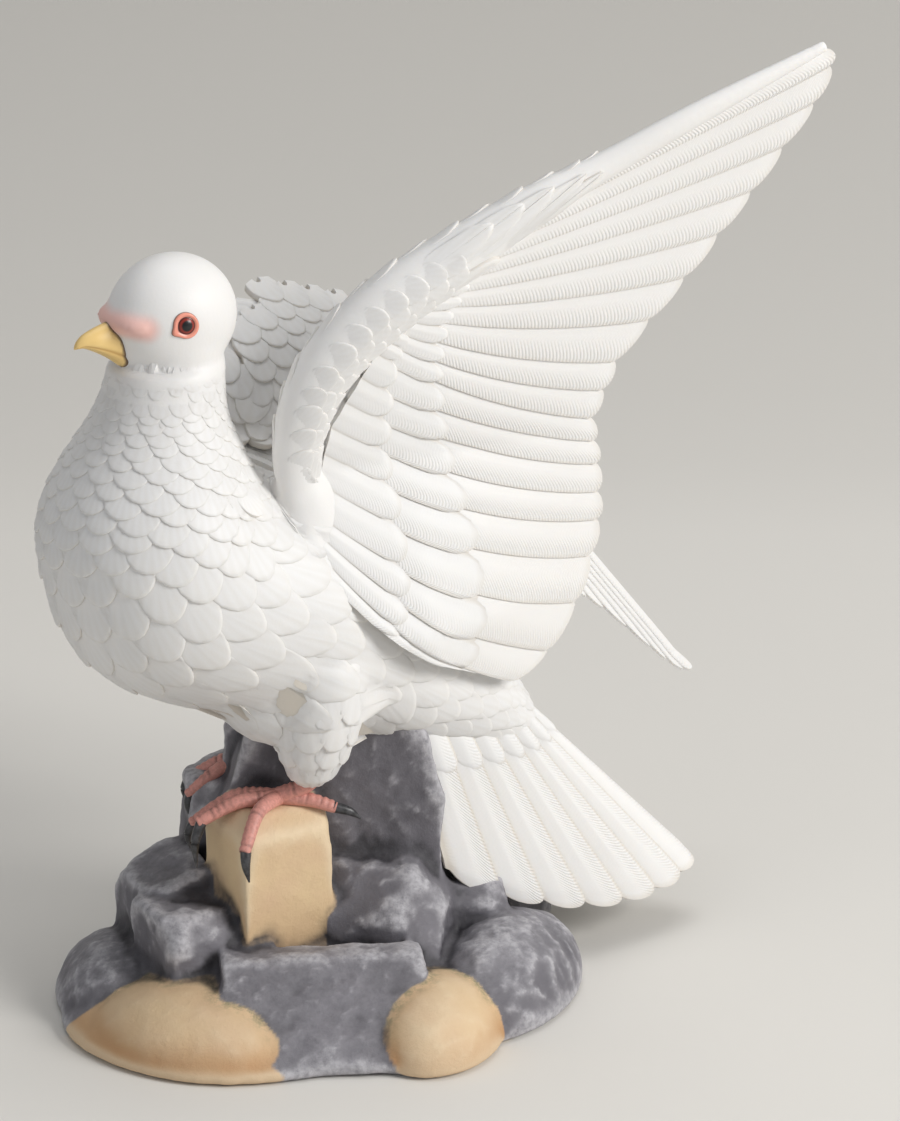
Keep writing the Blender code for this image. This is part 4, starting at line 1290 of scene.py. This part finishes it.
def lay_thighs(shells, ground, plumage):
    """Tiers of fluted feathers round each thigh."""
    way = np.array([-0.05, 0.0, -1.0])
    for rows in (LEFT_THIGH, RIGHT_THIGH):
        frames = thigh_frames(rows)
        for where, count, width, reach, lift in THIGH_TIERS:
            for i in range(count):
                angle = np.array([(i + 0.5 * (where > 1)) * math.tau / count])
                at = on_bird(oval(frames, [where], angle))[0]
                place, _ = ground.settle([at])
                if np.linalg.norm(place[0] - at) < THIGH_MISS:
                    fan_feather(
                        shells, ground, place[0] + (0, 0, 0.004), way, width * SHARE, reach * SHARE,
                        plumage.scale_lift * lift, plumage.fluting * 1.4, 15,
                    )


def lay_shoulder(shells, ground, plumage):
    """The round shell-like feather between the neck and the raised wing's root."""
    place, _ = ground.settle([on_bird(np.array([17, 34, 120]) @ BODY_AXES)])
    fan_feather(
        shells, ground, place[0] + (0, 0, 0.006), np.array([0.15, 0.0, -1.0]), 13 * SHARE, 14 * SHARE,
        plumage.scale_lift * 1.3, plumage.fluting, 25, crown=1.4,
    )


# Forward, up, half width and half height along the bill
BILL = (
    (11, -7.8, 13.4, 4.7), (16, -7.4, 12.8, 4.7), (20.5, -6.2, 9.9, 4.6), (25, -4.9, 6.9, 4.2),
    (29.5, -3.9, 4.5, 3.5), (33.3, -3.5, 2.6, 2.3), (35.6, -4.2, 1.4, 1.3), (36.6, -5.0, 0.35, 0.4),
)


def make_face(ground):
    """Bill and eyes."""
    bill = Shells()
    table = np.array(BILL, float)
    steps, sides = 44, 56
    row = through(table, np.linspace(0, len(table) - 1, steps))
    angles = np.arange(sides) * math.tau / sides
    gape = np.minimum(np.abs(angles - math.radians(335)), np.abs(angles - math.radians(205)))
    notch = np.exp(-((gape / 0.09) ** 2))
    scale = 1 - 0.07 * notch[None, :] * eased(1.0, 0.9, np.linspace(0, 1, steps))[:, None]
    left = row[:, 3:4] * np.cos(angles) * scale
    up = row[:, 1:2] + row[:, 2:3] * np.sin(angles) * scale * np.where(np.sin(angles) < 0, 0.72, 1.0)
    forward = np.broadcast_to(row[:, 0:1], left.shape)
    points = head_point(0, 0, 0) + SHARE * np.stack([forward, left, up], -1) @ HEAD_AXES
    places, _ = ground.settle(points.reshape(-1, 3))
    away = np.linalg.norm(places - points.reshape(-1, 3), axis=1) / SHARE
    values = np.stack([eased(1.05, 0.35, away), 0 * away, np.tile(notch, steps) * 0.8], -1)
    index = np.arange(steps * sides).reshape(steps, sides)
    faces = quads(np.concatenate([index, index[:, :1]], 1)) + [tuple(index[0]), tuple(index[-1, ::-1])]
    bill.add(points.reshape(-1, 3), faces, values)
    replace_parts(bill.build("bill", bill_paint(), WHITE_SLOT), "dove")
    eyes = Shells()
    for side in (1, -1):
        lay_eye(eyes, ground, side)
    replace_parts(eyes.build("eyes", eye_paint(), WHITE_SLOT, 60), "dove")


EYE_RADIUS, EYE_SIDES, EYE_CORNER = 4.6, 48, 28
EYE_ROWS = np.array([0.02, 0.14, 0.26, 0.33, 0.42, 0.52, 0.59, 0.64, 0.70, 0.78, 0.86, 0.92, 0.96, 1.0])
# Share of the way out from the eye's middle, and how high the lens and its lid stand there
EYE_RISE = (
    (0.0, 0.3, 0.5, 0.6, 0.66, 0.76, 0.86, 0.95, 1.0),
    (1.15, 1.0, 0.65, 0.3, 0.45, 0.85, 0.8, 0.3, -0.1),
)


def lay_eye(shells, ground, side):
    """A lens in a raised lid that draws out to a point in front and below."""
    centre, normal = ground.settle([head_point(5.4, 18.5 * side, 2.3)])
    front = unit(HEAD_AXES[0] - normal[0] * (HEAD_AXES[0] @ normal[0]))
    above = np.cross(front, normal[0]) * (1 if np.cross(front, normal[0])[2] > 0 else -1)
    count, rows = EYE_SIDES, EYE_ROWS
    angles = np.linspace(0, math.tau, count, endpoint=False)
    away = np.angle(np.exp(1j * (angles + math.radians(EYE_CORNER))))
    outline = EYE_RADIUS * (1 + 0.30 * np.exp(-((away / 0.34) ** 2)) + 0.05 * np.cos(2 * (angles - 0.9)))
    blend = eased(0.45, 0.95, rows)[:, None]
    reach = rows[:, None] * (EYE_RADIUS * (1 - blend) + outline * blend)
    flat = centre[0] + SHARE * (
        (reach * np.cos(angles))[..., None] * front + (reach * np.sin(angles))[..., None] * above
    )
    places, normals = ground.settle(flat.reshape(-1, 3))
    places, normals = places.reshape(flat.shape), normals.reshape(flat.shape)
    height = np.interp(rows, *EYE_RISE)
    top = places + normals * (height * SHARE)[:, None, None]
    index = np.arange(len(rows) * count).reshape(len(rows), count)
    wrapped = np.concatenate([index, index[:, :1]], 1)
    rim = index[-1]
    under = top[-1] - normals[-1] * 0.001
    low = index.size + np.arange(count)
    faces = quads(wrapped) + [tuple(index[0])]
    faces += quads(np.stack([np.append(rim, rim[0]), np.append(low, low[0])]))
    faces.append(tuple(low[::-1]))
    paint = np.repeat(rows, count)
    values = np.concatenate([paint, np.ones(count)])
    values = np.stack([values, 0 * values, 0 * values], -1)
    shells.add(np.concatenate([top.reshape(-1, 3), under]), faces, values)


class DOVE_OT_raised_wing(Carver, bpy.types.Operator):
    """Carve the raised wing, feather by feather"""

    bl_idname = "dove.raised_wing"
    bl_label = "Raised wing"

    def execute(self, context):
        plumage = self.plumage()
        vanes = raised_vanes(plumage)
        shells = Shells()
        lobes = lambda i: float(np.interp(i, (0, 3, 8, 19), (4.5, 4.0, 2.6, 3.6)))
        step = plumage.covert_step / SHARE
        for i in range(19):
            vanes.lay(shells, i, 1.0, lobes(i + 0.5), 0.0, rows=34)
        for i in range(4, 19):
            until = float(np.interp(i + 0.7, *RAISED_SECOND))
            vanes.lay(shells, i + 0.2, until, 0.07, 0.7 * step, rows=16, start=0.02)
        for i in range(8, 19):
            until = float(np.interp(i + 0.5, *RAISED_FIRST))
            vanes.lay(shells, i + 0.05, until, 0.05, 1.4 * step, rows=12, start=0.01)
        wing = shells.build("raised_wing", bisque_paint(), WHITE_SLOT)
        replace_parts(wing, "dove")
        arm = melted("arm", [oval_mesh("arm", arm_frames(), 60, 36, low=0.9)], 0.0009, 6)
        ground = Ground(arm)
        shells = Shells()
        self.lay_arm(shells, ground, plumage)
        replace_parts(dressed("raised_arm", arm, bisque_paint(), 80), "dove")
        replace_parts(shells.build("arm_feathers", bisque_paint(), WHITE_SLOT), "dove")
        return {"FINISHED"}

    def lay_arm(self, shells, ground, plumage):
        """Small feathers over the arm's face, long ones over the hand, and a few plain rows behind."""
        generator = np.random.default_rng(11)
        centre = np.array(ARM_CENTRE, float)
        for order, share_out in enumerate(MARGINAL_ROWS):
            where = 0.35 + 0.2 * (order % 2)
            while where < 4.5 + 0.3 * share_out:
                middle, ahead = through(centre, [where, where + 0.05])
                run = unit(ahead - middle)
                side = np.array([-run[1], run[0]])
                half = float(np.interp(where, range(len(ARM_HALF)), ARM_HALF))
                size = 1 + 0.16 * (generator.random() - 0.5)
                self.hand_feather(
                    shells, ground, plumage, middle + share_out * half * side, 0.55 * run - 0.84 * side,
                    11.5 * size, 13.0 * size, 0.85,
                )
                where += 7.6 / np.linalg.norm(ahead - middle) * 0.05
        for root, tip, width in HAND_FEATHERS:
            root, tip = np.array(root, float), np.array(tip, float)
            reach = np.linalg.norm(tip - root)
            self.hand_feather(shells, ground, plumage, root, (tip - root) / reach, width, reach, 1.3)
        frames = arm_frames()
        for order, where in enumerate(np.arange(0.8, 7.0, 0.42)):
            half = float(np.interp(where, range(len(ARM_HALF)), ARM_HALF))
            for angle in np.radians(np.arange(200, 341, 40) + 20 * (order % 2)):
                at, ahead = on_bird(oval(frames, [where, where + 0.2], np.array([angle, angle])))
                fan_feather(
                    shells, ground, at, ahead - at, half * 1.1 * SHARE, half * 1.9 * SHARE,
                    0.7 * plumage.scale_lift, 0.6 * plumage.fluting, 11,
                )

    def hand_feather(self, shells, ground, plumage, root, way, width, reach, lift):
        """One feather on the arm's face, from a root and a way in the wing's plane."""
        at, ahead = on_bird(raised_point(np.array([root, root + way]), 12.0))
        place, _ = ground.settle([at])
        fan_feather(
            shells, ground, place[0], ahead - at, width * SHARE, reach * SHARE,
            lift * plumage.scale_lift, plumage.fluting, 21, crown=0.5,
        )


class DOVE_OT_far_wing(Carver, bpy.types.Operator):
    """Carve the lowered far wing and its drooping tuft"""

    bl_idname = "dove.far_wing"
    bl_label = "Far wing"

    def execute(self, context):
        plumage = self.plumage()
        vanes = far_vanes(plumage)
        shells = Shells()
        for i in range(17):
            vanes.lay(shells, i, 1.0, 4.0, 0.0, rows=30)
        ground = Ground(self.ground_mesh())
        generator = np.random.default_rng(3)
        for row in range(9):
            down = -16 + 7.5 * row
            for i in range(14):
                a = -4 + (i + 0.5 * (row % 2)) * 8.6
                jitter = generator.random(3) - 0.5
                start = np.array([a + 1.5 * jitter[0], down - 3 + 1.5 * jitter[1]])
                if a > 112 - row or start[0] < np.interp(start[1], (-16, 0, 30, 50), (4, 0, -2, 8)):
                    continue
                self.scale(shells, ground, start, (0.55, 0.85), 12.5, 14.5, 0.8, plumage)
        for start, way, width, reach in (
            ((9, 40), (0.2, 1.0), 15, 31), ((22, 34), (0.15, 1.0), 13, 20), ((15, 26), (0.2, 1.0), 15, 22),
        ):
            self.scale(shells, ground, start, way, width, reach, 1.6, plumage)
        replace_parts(shells.build("far_wing", bisque_paint(), WHITE_SLOT), "dove")
        return {"FINISHED"}

    def ground_mesh(self):
        """The far wing's upper face, which its small feathers lie on."""
        a, b = np.meshgrid(np.linspace(-12, 130, 72), np.linspace(-24, 76, 50))
        points = on_bird(far_point(np.stack([a, b], -1)) + FAR_FACE * FAR_AXES[2])
        index = np.arange(a.size).reshape(a.shape)
        mesh = bpy.data.meshes.new("far_face")
        mesh.from_pydata(points.reshape(-1, 3).tolist(), [], quads(index))
        if mesh.vertices[0].normal @ Vector(FAR_AXES[2]) < 0:
            mesh.flip_normals()
        return mesh

    def scale(self, shells, ground, start, way, width, reach, lift, plumage):
        start, way = np.array(start, float), unit(np.array(way, float))
        at = on_bird(far_point(start) + FAR_FACE * FAR_AXES[2])
        ahead = on_bird(far_point(start + way) + FAR_FACE * FAR_AXES[2])
        fan_feather(
            shells, ground, at, ahead - at, width * SHARE, reach * SHARE,
            plumage.scale_lift * lift, plumage.fluting, 15,
        )


class DOVE_OT_tail(Carver, bpy.types.Operator):
    """Carve the fanned tail"""

    bl_idname = "dove.tail"
    bl_label = "Tail"

    def execute(self, context):
        plumage = self.plumage()
        vanes = tail_vanes(plumage)
        shells = Shells()
        for i in range(TAIL_FEATHERS):
            vanes.lay(shells, i, 1.0, 4.5, 0.0, rows=34, columns=13, shaft=0.5)
        for i in range(TAIL_FEATHERS):
            vanes.lay(shells, i + 0.15, 0.34, 0.07, 0.6, rows=14, shaft=0.5)
        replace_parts(shells.build("tail_fan", bisque_paint(), WHITE_SLOT), "dove")
        return {"FINISHED"}


class DOVE_OT_feet(Carver, bpy.types.Operator):
    """Model the coral feet and their claws"""

    bl_idname = "dove.feet"
    bl_label = "Feet"

    def execute(self, context):
        toes, claws = Shells(), Shells()
        leg_shells(toes, claws, LEFT_THIGH, LEFT_FOOT, LEFT_TOES)
        leg_shells(toes, claws, RIGHT_THIGH, RIGHT_FOOT, RIGHT_TOES)
        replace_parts(toes.build("feet", toe_paint(), WHITE_SLOT, 80), "dove")
        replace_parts(claws.build("claws", claw_paint(), WHITE_SLOT, 80), "dove")
        return {"FINISHED"}


class DOVE_OT_rock(bpy.types.Operator):
    """Model and paint the rock base"""

    bl_idname = "dove.rock"
    bl_label = "Rock base"
    bl_options = {"REGISTER", "UNDO"}

    def execute(self, context):
        look = context.scene.dove_rock
        lumps = [foot_mesh()]
        lumps += [chipped_block(*row) for row in BOULDERS]
        lumps += [round_boulder(*row) for row in ROUND_BOULDERS]
        mesh = melted("rock", lumps, look.grain, look.soften)
        count = len(mesh.vertices)
        points, normals = vertex_rows(mesh, "co"), vertex_rows(mesh, "normal")
        edges = np.empty(len(mesh.edges) * 2, np.int32)
        mesh.edges.foreach_get("vertices", edges)
        edges = edges.reshape(-1, 2)
        counts = np.maximum(np.bincount(edges.ravel(), minlength=count), 1)
        away = [np.abs(block_distance(points, *row)) for row in BOULDERS]
        away += [np.abs(egg_distance(points, *row)) for row in ROUND_BOULDERS]
        nearest = np.argmin(away, axis=0)
        round_ones = [len(BOULDERS) + i for i in TAN_ROUND]
        tan = spread(np.isin(nearest, [TAN_BLOCK, *round_ones]).astype(float), edges, counts, 8)
        edge = spread(np.isin(nearest, round_ones).astype(float), edges, counts, 40)
        relief = np.array([self.relief(Vector(p), look) for p in points]) * (1 - 0.65 * tan)
        relief *= eased(0.002, 0.009, points[:, 2])
        points = points + normals * relief[:, None]
        points[:, 2] = np.maximum(points[:, 2], FLOOR_GAP)
        mesh.vertices.foreach_set("co", points.ravel())
        broad = spread(points, edges, counts, 90)
        depth = ((points - broad) * normals).sum(1) / SHARE
        near = spread(points, edges, counts, 8)
        sharp = ((points - near) * normals).sum(1) / SHARE
        values = {
            # ridge: lighter on edges and upward faces, partly the dry-brushed paint and partly painted
            # highlight
            "ridge": (
                0.8 * eased(0.15, 1.1, depth)
                + 0.35 * eased(0.05, 0.22, sharp)
                + 0.25 * eased(0.5, 0.95, normals[:, 2])
            ),
            # hollow: darker in recesses, partly the dark wash and partly painted shade
            "hollow": eased(-0.1, -1.2, depth) + 0.25 * eased(-0.05, -0.2, sharp),
            "tan": eased(0.35, 0.65, tan),
            "moss": 3.2 * edge * (1 - edge) * eased(0.008, 0.018, points[:, 2]),
            "low": 0.8 * eased(0.016, 0.003, points[:, 2]) + 0.25 * eased(0.05, 0.03, points[:, 2]),
        }
        for name, value in values.items():
            stored(mesh, name, np.clip(value, 0, 1))
        rock = dressed("rock", mesh, rock_paint(), 80)
        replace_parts(rock, "rock_base")
        return {"FINISHED"}

    def relief(self, place, look):
        broad = noise.fractal(place * 38, 0.9, 2.1, 3)
        crag = noise.ridged_multi_fractal(place * 95 + Vector((3.1, 1.7, 0.4)), 0.9, 2.2, 4, 0.9, 2.0) - 1.0
        return look.swell * broad * 0.7 + look.roughness * 0.7 * crag


# Where the floor begins to sweep up, how round it does so, and where the wall behind stands, in metres
SWEEP_START, SWEEP_RADIUS, WALL = 0.55, 0.9, 1.45
# Place, size, power and colour of each soft light, and the point that they all face
LIGHTS = (
    ("key", (1.75, -0.85, 1.15), 0.9, 38.0, (1.0, 0.985, 0.965)),
    ("fill", (-1.6, -1.4, 0.9), 1.6, 6.5, (0.95, 0.97, 1.0)),
    ("top", (0.1, 0.3, 1.9), 1.2, 10.0, (1.0, 1.0, 1.0)),
)
LIT_POINT = (0.03, 0.0, 0.16)
ROOM_COLOUR, ROOM_STRENGTH = (0.86, 0.88, 0.92, 1.0), 0.30
CAMERA_LENS = 153.1
SEEN_POINT = (0.046, 0.0, 0.1519)


class DOVE_OT_stage(bpy.types.Operator):
    """Set the pale floor, the soft lights and the camera"""

    bl_idname = "dove.stage"
    bl_label = "Floor, light and camera"
    bl_options = {"REGISTER", "UNDO"}

    def execute(self, context):
        stage = context.scene.dove_stage
        self.make_floor(stage)
        self.make_lights(context)
        self.make_camera(context, stage)
        context.scene.view_settings.view_transform = "Standard"
        return {"FINISHED"}

    def make_floor(self, stage):
        profile = [(-3.0, 0.0), (SWEEP_START, 0.0)]
        profile += [
            (SWEEP_START + SWEEP_RADIUS * math.sin(t), SWEEP_RADIUS - SWEEP_RADIUS * math.cos(t))
            for t in np.linspace(0.1, math.pi / 2, 16)
        ]
        profile.append((WALL, 4.0))
        points = [(x, y, z) for y, z in profile for x in (-4.0, 4.0)]
        faces = [(2 * i, 2 * i + 1, 2 * i + 3, 2 * i + 2) for i in range(len(profile) - 1)]
        mesh = bpy.data.meshes.new("floor")
        mesh.from_pydata(points, [], faces)
        mesh.shade_smooth()
        made, tree, shader = painted("Pale floor", 0.75)
        place = tree.nodes.new("ShaderNodeTexCoord")
        depth = tree.nodes.new("ShaderNodeSeparateXYZ")
        tree.links.new(place.outputs["Object"], depth.inputs[0])
        # Painted shade: the floor darkens with distance towards the back
        far = between(tree, depth.outputs["Y"], 0.45, 1.4)
        tone = mixed(tree, far, tuple(stage.floor), tuple(stage.far_floor_shade))
        tree.links.new(tone, shader.inputs["Base Color"])
        shader.inputs["Specular IOR Level"].default_value = 0.2
        mesh.materials.append(made)
        floor = bpy.data.objects.new("floor", mesh)
        bpy.context.scene.collection.objects.link(floor)
        floor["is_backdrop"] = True

    def make_lights(self, context):
        for name, place, size, power, tint in LIGHTS:
            lamp = bpy.data.lights.new(name, "AREA")
            lamp.energy = power
            lamp.size = size
            lamp.color = tint
            holder = bpy.data.objects.new(name, lamp)
            holder.location = place
            holder.rotation_euler = (Vector(LIT_POINT) - Vector(place)).to_track_quat("-Z", "Y").to_euler()
            context.scene.collection.objects.link(holder)
            holder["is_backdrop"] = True
        world = bpy.data.worlds.new("Soft room")
        world.use_nodes = True
        room = world.node_tree.nodes["Background"]
        room.inputs["Color"].default_value = ROOM_COLOUR
        room.inputs["Strength"].default_value = ROOM_STRENGTH
        context.scene.world = world

    def make_camera(self, context, stage):
        camera = bpy.data.cameras.new("camera")
        camera.sensor_fit = "VERTICAL"
        camera.sensor_height = 36.0
        camera.lens = CAMERA_LENS
        camera.clip_start = 0.05
        camera.clip_end = 30
        holder = bpy.data.objects.new("camera", camera)
        up = stage.elevation
        view = Vector((0, math.cos(up), -math.sin(up)))
        holder.location = Vector(SEEN_POINT) - view * stage.distance
        holder.rotation_euler = (math.pi / 2 - up, 0, 0)
        context.scene.collection.objects.link(holder)
        context.scene.camera = holder


class DOVE_PT_panel(bpy.types.Panel):
    """Lists the statue's pieces and their settings"""

    bl_idname = "DOVE_PT_panel"
    bl_label = "Dove statue"
    bl_space_type = "VIEW_3D"
    bl_region_type = "UI"
    bl_category = "Dove statue"

    def draw(self, context):
        for operator in OPERATORS:
            self.layout.operator(operator.bl_idname)
        for label, settings in SETTINGS.items():
            box = self.layout.box()
            group_of_settings = getattr(context.scene, label)
            for name in settings.__annotations__:
                box.prop(group_of_settings, name)


OPERATORS = (
    DOVE_OT_body,
    DOVE_OT_raised_wing,
    DOVE_OT_far_wing,
    DOVE_OT_tail,
    DOVE_OT_feet,
    DOVE_OT_rock,
    DOVE_OT_stage,
)
SETTINGS = {
    "dove_plumage": DovePlumage,
    "dove_paint": DovePaint,
    "dove_rock": DoveRock,
    "dove_stage": DoveStage,
}


def register():
    for made in (*SETTINGS.values(), *OPERATORS, DOVE_PT_panel):
        bpy.utils.register_class(made)
    for name, settings in SETTINGS.items():
        setattr(bpy.types.Scene, name, PointerProperty(type=settings))


def unregister():
    for name in SETTINGS:
        delattr(bpy.types.Scene, name)
    for made in reversed((*SETTINGS.values(), *OPERATORS, DOVE_PT_panel)):
        bpy.utils.unregister_class(made)


def main():
    register()
    for operator in OPERATORS:
        family, name = operator.bl_idname.split(".")
        getattr(getattr(bpy.ops, family), name)()
    bpy.context.view_layer.update()
    plain = lambda box: [[float(value) for value in corner] for corner in box]
    {"cad": plain(CAD_BOX), "visual": plain(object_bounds())}


if __name__ == "__main__":
    main()
